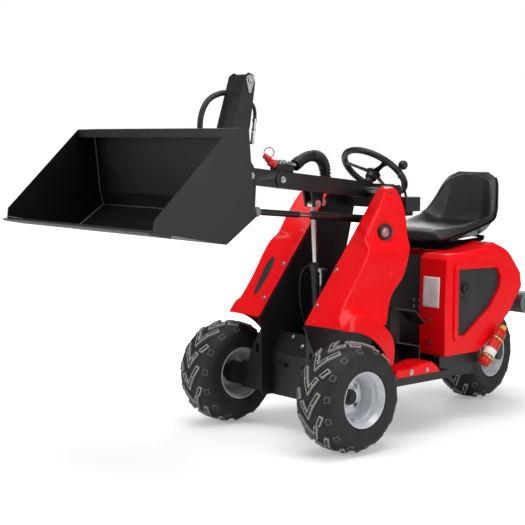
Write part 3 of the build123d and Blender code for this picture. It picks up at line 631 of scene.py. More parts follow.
def lug_grid(line, width, crossed):
    """Rows along a lug's line and columns across it: (round, across, risen, edge) on the flattened tread.

    A row is centreline + k * width * n, where n is the run's normal, or at a corner the mitre of two.
    """
    line = np.asarray(line, float)
    spans = np.diff(line, axis=0)
    length = np.linalg.norm(spans, axis=1)
    runs = unit(spans)
    rows = []
    for k, (start, run, long) in enumerate(zip(line, runs, length)):
        normal = (-run[1], run[0])
        at = [(-2.2, 0, 0), (0, 1, 1), (2.2, 1, 1), (3.6, 1, 0)] if k == 0 else [(19, 1, 0)]
        half = long / 2
        if crossed and long > 40:
            at += [(half - 2, 1, 0), (half - 0.8, 1, 1), (half + 0.8, 1, 1), (half + 2, 1, 0)]
        last = k == len(runs) - 1
        if last:
            at += [(long - 3.6, 1, 0), (long - 2.2, 1, 1), (long, 1, 1), (long + 2.2, 0, 0)]
        else:
            at += [(long - 19, 1, 0)]
        rows += [(*(start + run * d), *normal, up, edge) for d, up, edge in at]
        if not last:
            after = (-runs[k + 1][1], runs[k + 1][0])
            mitre = (np.array(normal) + after) / (1 + np.dot(normal, after))
            rows.append((*line[k + 1], *mitre, 1, 0))
    rows = np.array(rows)
    half = width / 2
    cols = np.array([(-half - 2.2, 0, 0), (-half, 1, 1), (2.2 - half, 1, 1), (3.6 - half, 1, 0),
                     (half - 3.6, 1, 0), (half - 2.2, 1, 1), (half, 1, 1), (half + 2.2, 0, 0)])
    spot = rows[:, None, :2] + cols[None, :, :1] * rows[:, None, 2:4]
    risen = rows[:, None, 4] * cols[None, :, 1]
    edge = risen * np.maximum(rows[:, None, 5], cols[None, :, 2])
    return spot[..., 0], spot[..., 1], risen, edge


class LOADER_OT_wheels(bpy.types.Operator):
    """Tyres with V lugs and shoulder fins, and deep-dished rims"""

    bl_idname = "loader.wheels"
    bl_label = "Wheels"

    def execute(self, context):
        for name, body, turn, out in WHEELS:
            wheel = Wheel(name, turn)
            self.tyre(wheel, name, body, context.scene.loader.lug_rise / MM)
            self.rim(wheel, name, body, out)
        return {"FINISHED"}

    def tyre(self, wheel, name, body, rise):
        tyre = Piece("tyre_surface_" + name, "tyre_rubber", body)
        angle = np.linspace(0, 2 * np.pi, 128, endpoint=False)
        across = np.linspace(wheel.run[0], wheel.run[-1], 57)
        angle, across = np.meshgrid(angle, across, indexing="ij")
        tyre.grid(wheel.at(angle, across, np.zeros_like(angle)), close_rows=True)
        tyre.turned([(CARCASS[-1][0], s * CARCASS[-1][1]) for s in (-1, 1)], wheel.centre, wheel.left, 96)
        for pitch in range(LUG_PITCHES):
            side = 1 if pitch % 2 else -1
            turn = 2 * np.pi * pitch / LUG_PITCHES
            for rows, crossed, flips in ((LUGS, True, (side,)), (FINS, False, (1, -1))):
                for (line, width), flip in itertools.product(rows, flips):
                    along, across, risen, edge = lug_grid(line, width, crossed)
                    # The lugs get lower from the tread, over the shoulder, to the side wall
                    high = np.interp(abs(across), (0, 42, 66, 72, 100), (rise, rise, rise * 0.6, 3.0, 2.0))
                    spots = wheel.at(turn + along * MM / TYRE_R, flip * across, risen * (high + 1) - 1)
                    # rim_of_lug places the painted highlight on the lugs' top edges, a quarter as strong on
                    # the fins
                    tyre.grid(spots, edge=edge.ravel() * (1.0 if crossed else 0.25))
        tyre.done(("tyre_" + name,), smooth=30.0)

    def rim(self, wheel, name, body, out):
        rim = Piece("rim_surface_" + name, "rim_grey", body)
        axis = wheel.left * out
        # Closed section of the barrel, radius and distance towards the open face, in millimetres
        lip = [(98, 80), (102.6, 84), (103.3, 88), (102.4, 90.6), (100, 90.4), (97.5, 86), (95, 80), (89, 74),
               (86.5, 66), (85.5, 58), (80.5, 52), (77.5, 44), (77, 20)]
        inner = [(r, -w) for r, w in lip[::-1]]
        outside = [(80, -44), (84, -54), (97.6, -70), (97.6, -78), (98, -80)]
        back = [(97.6, 78), (97.6, 70), (84, 54), (80, 44)]
        loop = lip + [(77, -20)] + inner[1:] + outside[3::-1] + [(80, 0)] + back[::-1]
        rim.turned(loop + loop[:1], wheel.centre, axis, 72)
        disc = [(17.7, 4), (30, 4), (34, 3), (38, 6), (44, 7), (60, 7), (68, 4), (72, -2), (77.6, -3.5),
                (77.6, -8), (70, -7), (64, 0), (58, 2), (44, 2), (36, 1), (30, -1), (17.7, -1), (17.7, 4)]
        rim.turned(disc, wheel.centre, axis, 72)
        rim.done(("rim_" + name,), smooth=42.0)
        hub = Piece("hub_" + name, "motor_iron", body)
        ring = [(17.7, -28), (29, -28), (29.5, 2), (29.5, 14), (27, 20), (22, 22), (17.7, 22), (17.7, -28)]
        hub.turned(ring, wheel.centre, axis, 40)
        hub.done(smooth=35.0)
        nuts = Piece("wheel_nuts_" + name, "zinc_steel", body)
        for k in range(4):
            spot = wheel.spoke(math.radians(45 + 90 * k), 0.05)
            nuts.bolt(spot + axis * 7 * MM, axis, 8.5, 1.3)
        valve = wheel.spoke(-1.3, 0.078) + axis * 28 * MM
        nuts.turned([(0, 0), (3.2, 0), (3.2, 22), (4.2, 22), (4.2, 34), (3, 36), (0, 36)], valve, axis, 14)
        nuts.done(smooth=35.0)


# Fairings
# Section columns in millimetres: z, x at the tower plate, x and y of the crease, x and y of the rear corner,
# x where the rear meets the tower plate
LOWER = (
    (442, 20, 8, 324, -216, 327, -222),
    (470, -2, -5, 304, -236, 314, -240),
    (500, -24, -18, 284, -254, 300, -258),
    (560, -70, -62, 281, -276, 295, -290),
    (600, -103, -92, 282, -338, 294, -342),
    (660, -148, -131, 286, -364, 293, -366),
    (730, -205, -180, 287, -386, 291, -388),
)
UPPER = (
    (746, -217, -178, 240, -388, 268, -390),
    (806, -264, -212, 240, -391, 262, -400),
    (860, -306, -252, 240, -385, 256, -410),
    (905, -341, -287, 236, -374, 246, -418),
    (930, -361, -308, 226, -362, 238, -422),
    (941, -372, -326, 212, -362, 226, -420),
    (945, -388, -348, 190, -372, 205, -412),
)
INNER_Y = 135.3
# Fender lines in millimetres, x, y, z: along the fairing, along the fender's ridge, and along the wheel arch
FENDER_INNER = ((-2, 286, 488), (-30, 285, 512), (-66, 286, 526), (-105, 288, 520), (-145, 290, 500),
                (-182, 292, 468), (-214, 294, 432), (-234, 298, 392), (-238, 300, 345), (-230, 300, 289))
FENDER_RIDGE = ((9, 326, 443), (-12, 328, 470), (-33, 330, 492), (-76, 334, 499), (-122, 339, 487),
                (-165, 343, 462), (-205, 347, 430), (-236, 349, 396), (-246, 349, 350), (-237, 349, 289))
FENDER_ARCH = ((6, 326, 440), (-8, 340, 439), (-22, 349, 437), (-58, 350, 430), (-95, 350, 417),
               (-130, 350, 397), (-160, 350, 373), (-188, 350, 342), (-203, 350, 318), (-215, 350, 289))


def fairing_rows(table, side):
    """Rows of a fairing, one a level, with extra points that ease the crease and the rear corner."""
    z, front, cx, cy, rx, ry, rin = np.asarray(table, float).T

    def lerp(x0, y0, x1, y1, k):
        return x0 + (x1 - x0) * k, y0 + (y1 - y0) * k
    cols = [(front - 5, 0 * z + INNER_Y), (front, 0 * z + INNER_Y)]
    cols += [lerp(front, INNER_Y, cx, cy, k) for k in (0.04, 0.5, 0.9, 0.97)] + [(cx, cy)]
    cols += [lerp(cx, cy, rx, ry, k) for k in (0.03, 0.1, 0.5, 0.85, 0.96)] + [(rx, ry)]
    cols += [lerp(rx, ry, rin, 0 * z + INNER_Y, k) for k in (0.06, 0.2, 0.6, 1.0)]
    return np.stack([np.stack([x * MM + AXLE_X, side * y * MM, z * MM], -1) for x, y in cols], 1)


class LOADER_OT_fairings(bpy.types.Operator):
    """Red fairings with their fenders, bolts and the lamp in each side"""

    bl_idname = "loader.fairings"
    bl_label = "Fairings and lamps"

    def execute(self, context):
        for name, side in (("left", 1), ("right", -1)):
            self.fairing(name, side)
            self.lamp(name, side)
            self.trim(name, side)
        return {"FINISHED"}

    def fairing(self, name, side):
        shell = Piece("fairing_shell_" + name, "red_plastic", "root")
        rows = np.concatenate([fairing_rows(LOWER, side), fairing_rows(UPPER, side)])
        shell.grid(rows if side < 0 else rows[:, ::-1])
        top = rows[-1]
        cap = top.mean(0) * 0.5 + top * 0.5
        lid = np.stack([top, cap, np.broadcast_to(top.mean(0), top.shape)])
        shell.grid(lid if side < 0 else lid[:, ::-1])
        shell.done(("fairing_" + name,), smooth=180, subdivide=2, thick=4 * MM)
        fender = Piece("fender_" + name, "red_plastic", "root")
        a, b, c = (np.array([place(x, side * y, z) for x, y, z in line])
                   for line in (FENDER_INNER, FENDER_RIDGE, FENDER_ARCH))
        cols = [a, a * 0.5 + b * 0.5, a * 0.08 + b * 0.92, b, b * 0.9 + c * 0.1, b * 0.5 + c * 0.5,
                b * 0.06 + c * 0.94, c, c - [0, side * 0.006, 0]]
        grid = np.stack(cols, 1)
        fender.grid(grid if side > 0 else grid[:, ::-1])
        fender.done(("fairing_" + name,), smooth=180, subdivide=2, thick=4 * MM)

    def lamp(self, name, side):
        turn = math.radians(6.9)
        out = np.array([math.sin(turn), side * math.cos(turn), 0.0])
        seat = place(-279, side * 254.5, 782)
        bezel = Piece("lamp_bezel_" + name, "black_plastic", "root")
        bezel.turned([(0, -12), (32, -12), (32.8, 2), (32.8, 8), (31, 11.4), (27, 12), (22, 10), (20, 5),
                      (0, 5)], seat, out, 48)
        bezel.done(("lamps",), smooth=40)
        lens = Piece("lamp_lens_" + name, "lens", "root")
        dome = [(19.9 * math.cos(t), 5 + 6.0 * math.sin(t)) for t in np.linspace(0, math.pi / 2, 10)]
        lens.turned([(0, 5.0)] + dome, seat, out, 48)
        lens.done(smooth=60)

    def trim(self, name, side):
        trim = Piece("fairing_bolts_" + name, "zinc_steel", "root")
        # Bolts near the inner edge of the front face, which slopes by 52 degrees
        for x, z in ((-228, 768), (-128, 641), (-28, 514)):
            trim.bolt(place(x, side * 152, z), (0.79, 0, 0.61), 6, 0.5)
        trim.done(smooth=35)
        if side < 0:
            slot = Piece("fairing_slot", "grey_plastic", "root")
            # Columns in millimetres: y and z of the slot's corners, eased by cutting them
            rim = rounded(((-243, 665), (-199, 662), (-197, 521), (-227, 519)), 3, closed=True)
            middle = rim.mean(0)
            rings = np.stack([middle + (rim - middle) * k for k in (1.0, 0.96, 0.6, 0.05)])
            shell = bpy.data.objects["fairing_shell_right"]
            lifts = (0.0009, 0.0017, 0.0017, 0.0017)
            slot.grid(laid(shell, place(400, 0, 0)[0], rings, lifts), close_cols=True)
            slot.done(smooth=60)
        plug = Piece("stub_pin_" + name, "black_plastic", "root")
        plug.turned([(0, 0), (13, 0), (13, 9), (11, 11), (0, 11)], place(-332, side * 226, 920),
                    (0.2, side * 0.97, 0.15), 24)
        plug.done(smooth=35)


# Boom, mast and bucket
BOOM_REAR, BOOM_FRONT = (-405, 932), (205, 1000)
JOINT_PIN = (39, 981)
TILT_TOP, BUCKET_PIN = (210, 1345), (410, 880)
LIFT_EYE, LIFT_BASE = (-146, 885), (-182, 282)
LIFT_PORT = (-168, 21, 628)


class LOADER_OT_boom(bpy.types.Operator):
    """Boom with its corrugated sleeve, couplers and pins, and the mast with its keeper plate"""

    bl_idname = "loader.boom"
    bl_label = "Boom and mast"

    def execute(self, context):
        eased("boom", "boom_arm", "black_steel", 0.0015)
        eased("carrier", "tool_carrier", "black_steel", 0.0015)
        self.sleeve(context.scene.loader.sleeve_bore)
        self.couplers()
        self.pins()
        self.mast()
        self.lift_hoses()
        return {"FINISHED"}

    def sleeve(self, bore):
        """Corrugated sleeve: radius + depth * cos(2 pi s / pitch), s the length along its bend."""
        # Route in millimetres from the front axle line, from the couplers down beside the boom
        bends = ((-50, 0, 1033), (-97, -8, 1056), (-147, -20, 1069), (-204, -35, 1066), (-242, -48, 1044),
                 (-264, -58, 1014), (-268, -61, 970), (-266, -61, 930))
        route = bent(bends, 420)
        run = np.linalg.norm(np.diff(route, axis=0), axis=1).sum() * np.linspace(0, 1, len(route))
        wave = 0.0026 * np.cos(2 * np.pi * run / 0.0125)
        depth = np.clip((run - 0.1) / 0.05, 0.25, 1)
        sleeve = Piece("hose_sleeve", "black_plastic", "boom_arm")
        sleeve.tube(route, bore / 2 - 0.0016 + wave * depth, 28, up=(0.25, -0.97, 0))
        sleeve.tube(resampled(route[:40], 6), bore / 2 + 0.001, 28, up=(0.25, -0.97, 0))
        sleeve.done(smooth=50)
        # Hydraulic line that enters the sleeve, with its swaged end
        line = Piece("sleeve_fittings", "zinc_steel", "boom_arm")
        start, inside = place(-4, 4, 1040), place(-62, -2, 1036)
        line.turned([(0, 0), (7, 0), (7, 12), (11, 12), (11, 20), (8.5, 22), (8.5, 40), (9.5, 42), (9.5, 60),
                     (0, 60)], start, unit(inside - start), 24)
        line.done(smooth=35)

    def couplers(self):
        """Coupler block with its fittings, and the two red dust caps on their ring."""
        block = Piece("coupler_manifold", "black_steel", "boom_arm")
        block.side_plate(((-28, 1006), (58, 1015.6), (55, 1041), (-31, 1032)), -19, 19)
        block.done(("coupler_block",), bevel=0.002, smooth=35)
        ends = Piece("coupler_fittings", "zinc_steel", "boom_arm")
        for x, y in ((34, -9), (34, 9), (8, 0)):
            ends.turned([(0, 0), (8.5, 0), (8.5, 11), (6.5, 12), (6.5, 17), (0, 17)], place(x, y, 1038),
                        (-0.5, 0, 0.87), 6)
        ends.done(smooth=35)
        caps = Piece("coupler_dust_caps", "cap_red", "boom_arm")
        # Cap of radius 1 and length 1
        cap = np.array([(0, 0), (0.62, 0), (0.62, 0.1), (1, 0.16), (1, 0.5), (0.84, 0.6), (0.6, 0.66),
                        (0.62, 0.74), (0.86, 0.8), (0.84, 0.94), (0.5, 1), (0, 1)])
        caps.turned(cap * (16, 32), place(56, 10, 1038), (0.96, 0, 0.28), 28)
        caps.turned(cap * (13, 40), place(64, -6, 1048), (0.8, 0, 0.6), 28)
        turn = np.linspace(0, 2 * np.pi, 48, endpoint=False)
        across, up = np.array([-0.76, 0.649, 0]), np.array([0, 0, 1.0])
        loop = circle(place(80, 2, 1083), 0.0185, across, up, turn)
        caps.tube(loop, 0.0018, 8, up=(0.649, 0.76, 0), close=True)
        caps.done(("coupler_caps",), smooth=40)

    def pins(self):
        """Heads of the boom's pins and of the lift cylinder's upper pin."""
        pins = Piece("boom_pins", "zinc_steel", "boom_arm")
        head = [(0, 0), (13, 0), (13, 3.5), (11.8, 4.5), (7, 4.5), (5.6, 2.8), (0, 2.8)]
        for side in (1, -1):
            pins.turned(head, place(JOINT_PIN[0], side * 35, JOINT_PIN[1]), (0, side, 0), 32)
        for x, z, y in ((LIFT_EYE[0], LIFT_EYE[1], 27), (LIFT_EYE[0] - 34, LIFT_EYE[1] + 4, 20)):
            pins.bolt(place(x, y, z), (0, 1, 0), 9.5, 0.55)
        pins.done(smooth=35)

    def mast(self):
        """Keeper plate, covers and formed lines of the mast, and the tube over the levelling rod."""
        plate = Piece("keeper_plate", "zinc_steel", "tool_carrier")
        # Teardrop keeper that locks the upper pin: a round about the pin and a small one about its bolt
        t = np.linspace(0, np.pi, 20)
        big = [(TILT_TOP[0] + 19 * math.cos(a), TILT_TOP[1] + 19 * math.sin(a)) for a in t]
        small = [(TILT_TOP[0] + 2 - 7 * math.cos(a), TILT_TOP[1] - 40 - 7 * math.sin(a)) for a in t]
        plate.side_plate(big + small, 46.5, 51)
        plate.bolt(place(TILT_TOP[0] + 2, 50.8, TILT_TOP[1] - 39), (0, 1, 0), 4, 0.5, washer=False)
        plate.turned([(0, 0), (10, 0), (10, 1.6), (9, 2.6), (5, 2.6), (4, 1.4), (0, 1.4)],
                     place(TILT_TOP[0], 51, TILT_TOP[1]), (0, 1, 0), 30)
        plate.done(bevel=0.0008, smooth=35)
        pins = Piece("carrier_pin_heads", "zinc_steel", "tool_carrier")
        pins.bolt(place(BOOM_FRONT[0] + 4, 46, BOOM_FRONT[1] - 46), (0, 1, 0), 7, 0.5)
        pins.bolt(place(BUCKET_PIN[0] - 40, 46, BUCKET_PIN[1] + 12), (0, 1, 0), 6, 0.5)
        pins.done(smooth=35)
        # Formed hydraulic lines of the tilt cylinder
        lines = Piece("tilt_lines", "rubber_hose", "tool_carrier")
        front = ((222, -52, 1302), (262, -54, 1301), (318, -56, 1280), (350, -56, 1236), (362, -56, 1180),
                 (350, -56, 1116), (318, -56, 1062), (282, -52, 1040))
        rear = ((216, 30, 1254), (204, 38, 1270), (186, 40, 1252), (180, 40, 1226), (182, 40, 1202))
        lines.tube(bent(front, 90), 0.0105, 18, up=(0, 1, 0))
        lines.tube(bent(rear, 50), 0.0065, 14, up=(0, 1, 0))
        lines.done(smooth=60)
        clip = Piece("mast_clip", "zinc_steel", "tool_carrier")
        clip.turned([(0, 0), (8, 0), (8, 12), (6, 14), (6, 36), (7.6, 36), (7.6, 46), (0, 46)],
                    place(182, 40, 1206), (0.12, 0, -1), 20)
        clip.turned([(0, 0), (6, 0), (6, 30), (7.6, 31), (7.6, 44), (0, 44)], place(190, 40, 1158),
                    (0.1, 0, -1), 20)
        clip.done(smooth=35)
        # Upper end of the mast's front cover, up to the pin
        cover = Piece("mast_cover", "black_steel", "tool_carrier")
        outline = ((250.2, 1303), (236, 1352), (228, 1360), (222, 1360), (229, 1350), (243.2, 1303))
        cover.side_plate(outline, -37.6, 37.6)
        cover.done(bevel=0.001, smooth=35)
        # Black tube over the front of the level cylinder's rod
        link = Piece("level_rod_tube", "black_steel", "level_piston")
        foot, eye = place(-407, 65, 815), place(203, 65, 870)
        link.turned([(10.2, 396), (12.2, 397), (12.2, 590), (10.2, 591)], foot, unit(eye - foot), 32)
        link.done(smooth=35)

    def lift_hoses(self):
        """Fittings and lines that stay on the lift cylinder."""
        tee = Piece("lift_fitting", "zinc_steel", "lift_cylinder")
        top = place(*LIFT_PORT)
        tee.turned([(0, -4), (7, -4), (7, 16), (9, 16), (9, 24), (0, 24)], top, (0, 1, 0), 20)
        tee.turned([(0, -14), (6.5, -14), (6.5, 14), (8.6, 14), (8.6, 22), (0, 22)], top + [0, 0.018, 0],
                   (1, 0, 0), 20)
        tee.turned([(0, 0), (6, 0), (6, 14), (8.5, 14), (8.5, 30), (7, 32), (7, 58), (0, 58)],
                   top + [0.012, 0.018, 0], (0.03, 0, -1), 20)
        tee.done(smooth=35)
        lines = Piece("lift_lines", "rubber_hose", "lift_cylinder")
        # Bends in millimetres from the cylinder's port
        thick = ((14, 18, -50), (18, 19, -110), (22, 20, -180), (10, 22, -236), (-6, 24, -262))
        thin = ((0, -40, 4), (10, -52, 14), (34, -66, 0), (40, -78, -50), (26, -88, -130), (6, -92, -200),
                (-10, -92, -236))
        lines.tube(bent(thick, 60, LIFT_PORT), 0.0062, 14, up=(0, 1, 0))
        lines.tube(bent(thin, 70, LIFT_PORT), 0.0038, 12, up=(0, 1, 0))
        lines.done(smooth=60)
        collar = Piece("lift_gland", "black_steel", "lift_cylinder")
        foot, eye = (place(x, 0, z) for x, z in (LIFT_BASE, LIFT_EYE))
        collar.turned([(21.05, 340), (23.6, 341), (24, 343), (24, 371), (22.5, 374), (12, 374.5), (12, 372)],
                      foot, unit(eye - foot), 40)
        collar.done(smooth=35)


BUCKET_HALF = 449


class LOADER_OT_bucket(bpy.types.Operator):
    """Bucket with eased sheet edges, weld beads and its bolted-on edge"""

    bl_idname = "loader.bucket"
    bl_label = "Bucket"

    def execute(self, context):
        # The whole bucket takes the darker black, which is painted shade for its inside
        eased("bucket", "bucket_tool", "bucket_black", 0.0011)
        eased("cutting_edge", "bucket_tool", "worn_steel", 0.0012)
        beads = Piece("bucket_welds", "weld", "bucket_tool")
        # Weld line inside each side plate, in the side view
        inside = ((556, 1140), (536, 938), (521, 888), (644, 803.5), (926, 857))
        for y in (BUCKET_HALF - 5.2, 5.2 - BUCKET_HALF):
            path = resampled([place(x, y, z) for x, z in inside], 260)
            beads.tube(path, 0.0026 + 0.0005 * np.sin(np.arange(260) * 1.9), 8, up=(0, 1, 0))
        fold = resampled([place(522.5, y, 887.5) for y in (-444, 444)], 200)
        beads.tube(fold, 0.0012 + 0.0003 * np.sin(np.arange(200) * 1.3), 6)
        beads.done(smooth=60)
        return {"FINISHED"}


# Steering
STEER_AT, STEER_LEAN = (-481, 1002), 40.0
STEER_R, STEER_TUBE = 148.0, 13.0
# One side of a spoke: distance from the hub and half width, in millimetres
SPOKE = ((20, 13), (60, 9.5), (100, 9), (128, 14), (136, 14))


class LOADER_OT_steering(bpy.types.Operator):
    """Steering wheel with its spokes, centre cap and spinner knob"""

    bl_idname = "loader.steering"
    bl_label = "Steering wheel"

    def execute(self, context):
        lean = math.radians(STEER_LEAN)
        up = np.array([-math.sin(lean), 0, math.cos(lean)])
        rear = -np.array([math.cos(lean), 0, math.sin(lean)])
        left = np.array([0, 1.0, 0])
        hub = place(STEER_AT[0], 0, STEER_AT[1])
        wheel = Piece("steering_rim", "black_plastic", "hand_wheel")
        t = np.linspace(0, 2 * np.pi, 120, endpoint=False)
        ring = circle(hub, (STEER_R - STEER_TUBE) * MM, rear, left, t)
        wheel.tube(ring, STEER_TUBE * MM, 20, up=up, close=True)
        sides = [(d, -w) for d, w in SPOKE] + [(d, w) for d, w in SPOKE[::-1]]
        for k in range(3):
            turn = 2 * math.pi * k / 3
            out = math.cos(turn) * rear + math.sin(turn) * left
            across = np.cross(up, out)
            wheel.slab([hub + (d * out + w * across) * MM for d, w in sides], -0.0095 * up, -0.0045 * up)
        boss = [(0, -38), (20, -38), (24, -34), (24, -18), (30, -12), (31, -6), (28, -2), (0, -2)]
        wheel.turned(boss, hub, up, 36)
        knob_at = hub + (STEER_R - STEER_TUBE) * MM * left
        t = np.linspace(-1.1, math.pi / 2, 16)
        ball = [(0, 10), (6, 10), (6, 18)] + [(18.8 * math.cos(a), 36 + 18.8 * math.sin(a)) for a in t]
        wheel.turned(ball, knob_at, up, 32)
        wheel.done(("steering_wheel",), bevel=0.0012, smooth=38)
        cap = Piece("steering_cap", "zinc_steel", "hand_wheel")
        t = np.linspace(0, math.pi / 2, 10)
        dome = [(0, -3), (21, -3)] + [(21 * math.cos(a), 2 + 13 * math.sin(a)) for a in t]
        cap.turned(dome, hub, up, 36)
        cap.done(smooth=50)
        return {"FINISHED"}


# Body
# CAD nodes of the frame that keep their form, with finish and width of the eased edges
EASED_NODES = (
    ("rear_cowl", "red_plastic", 0.003), ("sills", "red_plastic", 0.006),
    ("side_panels", "grey_plastic", 0.001),
    ("chassis_frame", "black_steel", 0.0015), ("front_axle_box", "black_steel", 0.0015),
    ("tower_plates", "black_steel", 0.001), ("tower_back", "black_steel", 0.001),
    ("rear_frame", "black_steel", 0.002), ("engine_wall", "black_steel", 0.001),
    ("foot_pedal", "worn_steel", 0.0012), ("steering_column", "black_steel", 0.0015),
    ("control_valve", "motor_iron", 0.002),
)


class LOADER_OT_body(bpy.types.Operator):
    """Cowl, panels, frame, footwell and the small parts on them"""

    bl_idname = "loader.body"
    bl_label = "Body and frame"

    def execute(self, context):
        for node, finish, width in EASED_NODES:
            eased(node, "root", finish, width)
        eased("rear_fork", "fork", "black_steel", 0.002)
        self.fasteners()
        self.cowl_parts()
        self.can()
        self.muffler()
        return {"FINISHED"}

    def fasteners(self):
        """Bolts of the axle box, walls and sills, and the two eyes on the axle box."""
        bolts = Piece("body_bolts", "zinc_steel", "root")
        # Front plate of the axle box, which slopes: place along its face and across it
        slope = unit(np.array([79, 0, 46.0]))
        for x, z, y in ((-84, 365, -40), (-68, 338, 30), (-61, 326, 84), (-86, 368, 92)):
            bolts.bolt(place(x + 3, y, z + 2), slope, 6.2, 0.5)
        for y, z in itertools.product((116, 146), (457, 484)):
            bolts.bolt(place(-600, y, z), (1, 0, 0), 4.5, 0.5)
        bolts.bolt(place(-330, 352, 252), (0, 1, 0), 7.5, 0.5)
        bolts.bolt(place(-420, 352, 252), (0, 1, 0), 5.5, 0.5)
        for z in (418, 324):
            bolts.bolt(place(-577, 224, z), (1, 0, 0), 5.5, 0.5)
        bolts.done(smooth=35)
        fins = Piece("axle_lifting_eyes", "black_steel", "root")
        for y in (88, -70):
            fins.side_plate(((-46.5, 250), (-30, 256), (-28, 262), (-46.5, 268)), y - 34, y + 34)
        fins.done(bevel=0.001, smooth=35)

    def cowl_parts(self):
        """Blank label, latch and the panel's knob."""
        label = Piece("blank_label", "label_white", "root")
        across, up = np.linspace(270, 184, 10), np.linspace(467, 588, 14)
        spots = np.stack(np.meshgrid(across, up), -1)
        label.grid(laid(NODES["rear_cowl"], place(0, 0, 0)[0], spots, [0.0008] * len(up)))
        label.done(smooth=60, thick=0.0005)
        latch = Piece("cowl_latch", "zinc_steel", "root")
        # The latch lies on the cowl's top, which rises by 0.02 towards the front
        corners = ((-846, 236), (-846, 250), (-912, 250), (-912, 236))
        latch.slab([place(x, y, 707 + (x + 880) * 0.02) for x, y in corners], (0, 0, 0), (0, 0, 0.004))
        latch.turned([(0, 0), (8, 0), (8, 4), (6, 6), (0, 6)], place(-862, 243, 711), (0, 0, 1), 24)
        latch.done(bevel=0.0008, smooth=35)
        knob = Piece("panel_knob", "black_plastic", "root")
        knob.turned([(0, -2), (21, -2), (21, 6), (19, 9), (15, 10), (13, 7), (0, 7)], place(-700, 295, 540),
                    (0, 1, 0), 40)
        knob.turned([(0, -1), (9, -1), (9, 2), (7, 2.6), (6, 0.5), (0, 0.5)], place(-690, 295, 500),
                    (0, 1, 0), 28)
        knob.done(smooth=35)

    def can(self):
        """Extinguisher with its blank band, head and two clips."""
        low, high = place(-781, 326.3, 226), place(-913, 326.3, 370)
        along = unit(high - low)
        can = Piece("extinguisher_can", "can_red", "root")
        bottle = [(0, 1), (18, 1), (24, 5), (25.6, 12), (25.6, 152), (23, 164), (16, 172), (12, 175),
                  (0, 175)]
        can.turned(bottle, low, along, 40)
        can.done(("extinguisher",), smooth=45)
        band = Piece("extinguisher_band", "label_white", "root")
        band.turned([(25.6, 44), (25.95, 44.4), (25.95, 74.6), (25.6, 75)], low, along, 40)
        band.done(smooth=45)
        head = Piece("extinguisher_head", "can_yellow", "root")
        head.turned([(0, 174), (13, 174), (14, 178), (14, 189), (10, 194), (0, 195)], low, along, 28)
        head.done(smooth=40)
        clip = Piece("extinguisher_clip", "yellow_zinc", "root")
        t = np.linspace(math.radians(-140), math.radians(140), 30)
        u, v = np.array([0, 1.0, 0]), np.cross(along, (0, 1.0, 0))
        for d in (0.035, 0.125):
            arc = circle(low + along * d, 0.0272, u, v, t)
            clip.grid(np.stack([arc - along * 0.007, arc + along * 0.007], 1))
        clip.done(smooth=50, thick=0.0014)

    def muffler(self):
        """Pressed drum of the muffler, across the rear frame."""
        drum = Piece("muffler_drum", "muffler_steel", "root")
        drum.turned([(0, 2), (36, 2), (44, 5), (45.8, 8), (45.8, 84), (44, 87), (30, 89), (0, 89)],
                    place(-1110, 290.2, 446), (0, -1, 0), 48)
        drum.done(smooth=40)


# Seat: a one-piece moulding. Columns in millimetres: x and z of its middle line, thickness, half width and
# how far its wings come towards the driver
SEAT_LINE = (
    (-706, 732, 58, 176, 2), (-735, 736, 62, 188, 5), (-780, 740, 58, 198, 12), (-850, 743, 50, 203, 24),
    (-920, 746, 46, 205, 38), (-980, 750, 44, 206, 48), (-1022, 764, 44, 206, 54), (-1044, 796, 44, 202, 48),
    (-1055, 836, 43, 189, 34), (-1064, 880, 42, 172, 22), (-1073, 925, 40, 158, 13), (-1080, 957, 36, 144, 6),
    (-1085, 977, 28, 123, 2), (-1087, 988, 18, 96, 0),
)


SEAT_ROWS = 60
# Powers of the section's rounding, across the seat and through it
SQUARE, FULL = 0.55, 0.8


class SeatForm:
    """Section of the seat along its middle line, and the wings on top.

    y = w sign(c) |c|^SQUARE and n = t / 2 sign(s) |s|^FULL, with c and s the cosine and sine of the turn.
    """

    def __init__(self, shrink=0.0):
        self.x, self.z, self.thick, self.half, self.wing = resampled(rounded(SEAT_LINE, 3), SEAT_ROWS).T
        self.thick, self.half = self.thick - 2 * shrink, self.half - shrink
        along = unit(np.stack([np.gradient(self.x), np.gradient(self.z)], 1))
        self.normal = np.stack([along[:, 1], -along[:, 0]], 1)

    def point(self, row, y, n):
        """Places at y across and n off the middle line, wings included."""
        share = np.clip((abs(y) / self.half[row] - 0.5) / 0.48, 0, 1)
        n = n + self.wing[row] * share * share * (3 - 2 * share)
        x, z = self.x[row] + n * self.normal[row, 0], self.z[row] + n * self.normal[row, 1]
        return place(0, 0, 0) + np.stack([x, y, z], -1) * MM

    def front(self, row, y):
        """A place on the face towards the driver."""
        c = np.clip(abs(y) / self.half[row], 0, 0.999) ** (1 / SQUARE)
        return self.point(row, y, self.thick[row] / 2 * (1 - c * c) ** (FULL / 2))

    def row_at(self, height):
        """The row of the back whose middle line passes a height."""
        back = np.arange(SEAT_ROWS // 2, SEAT_ROWS)
        return int(back[np.argmin(abs(self.z[back] - height))])


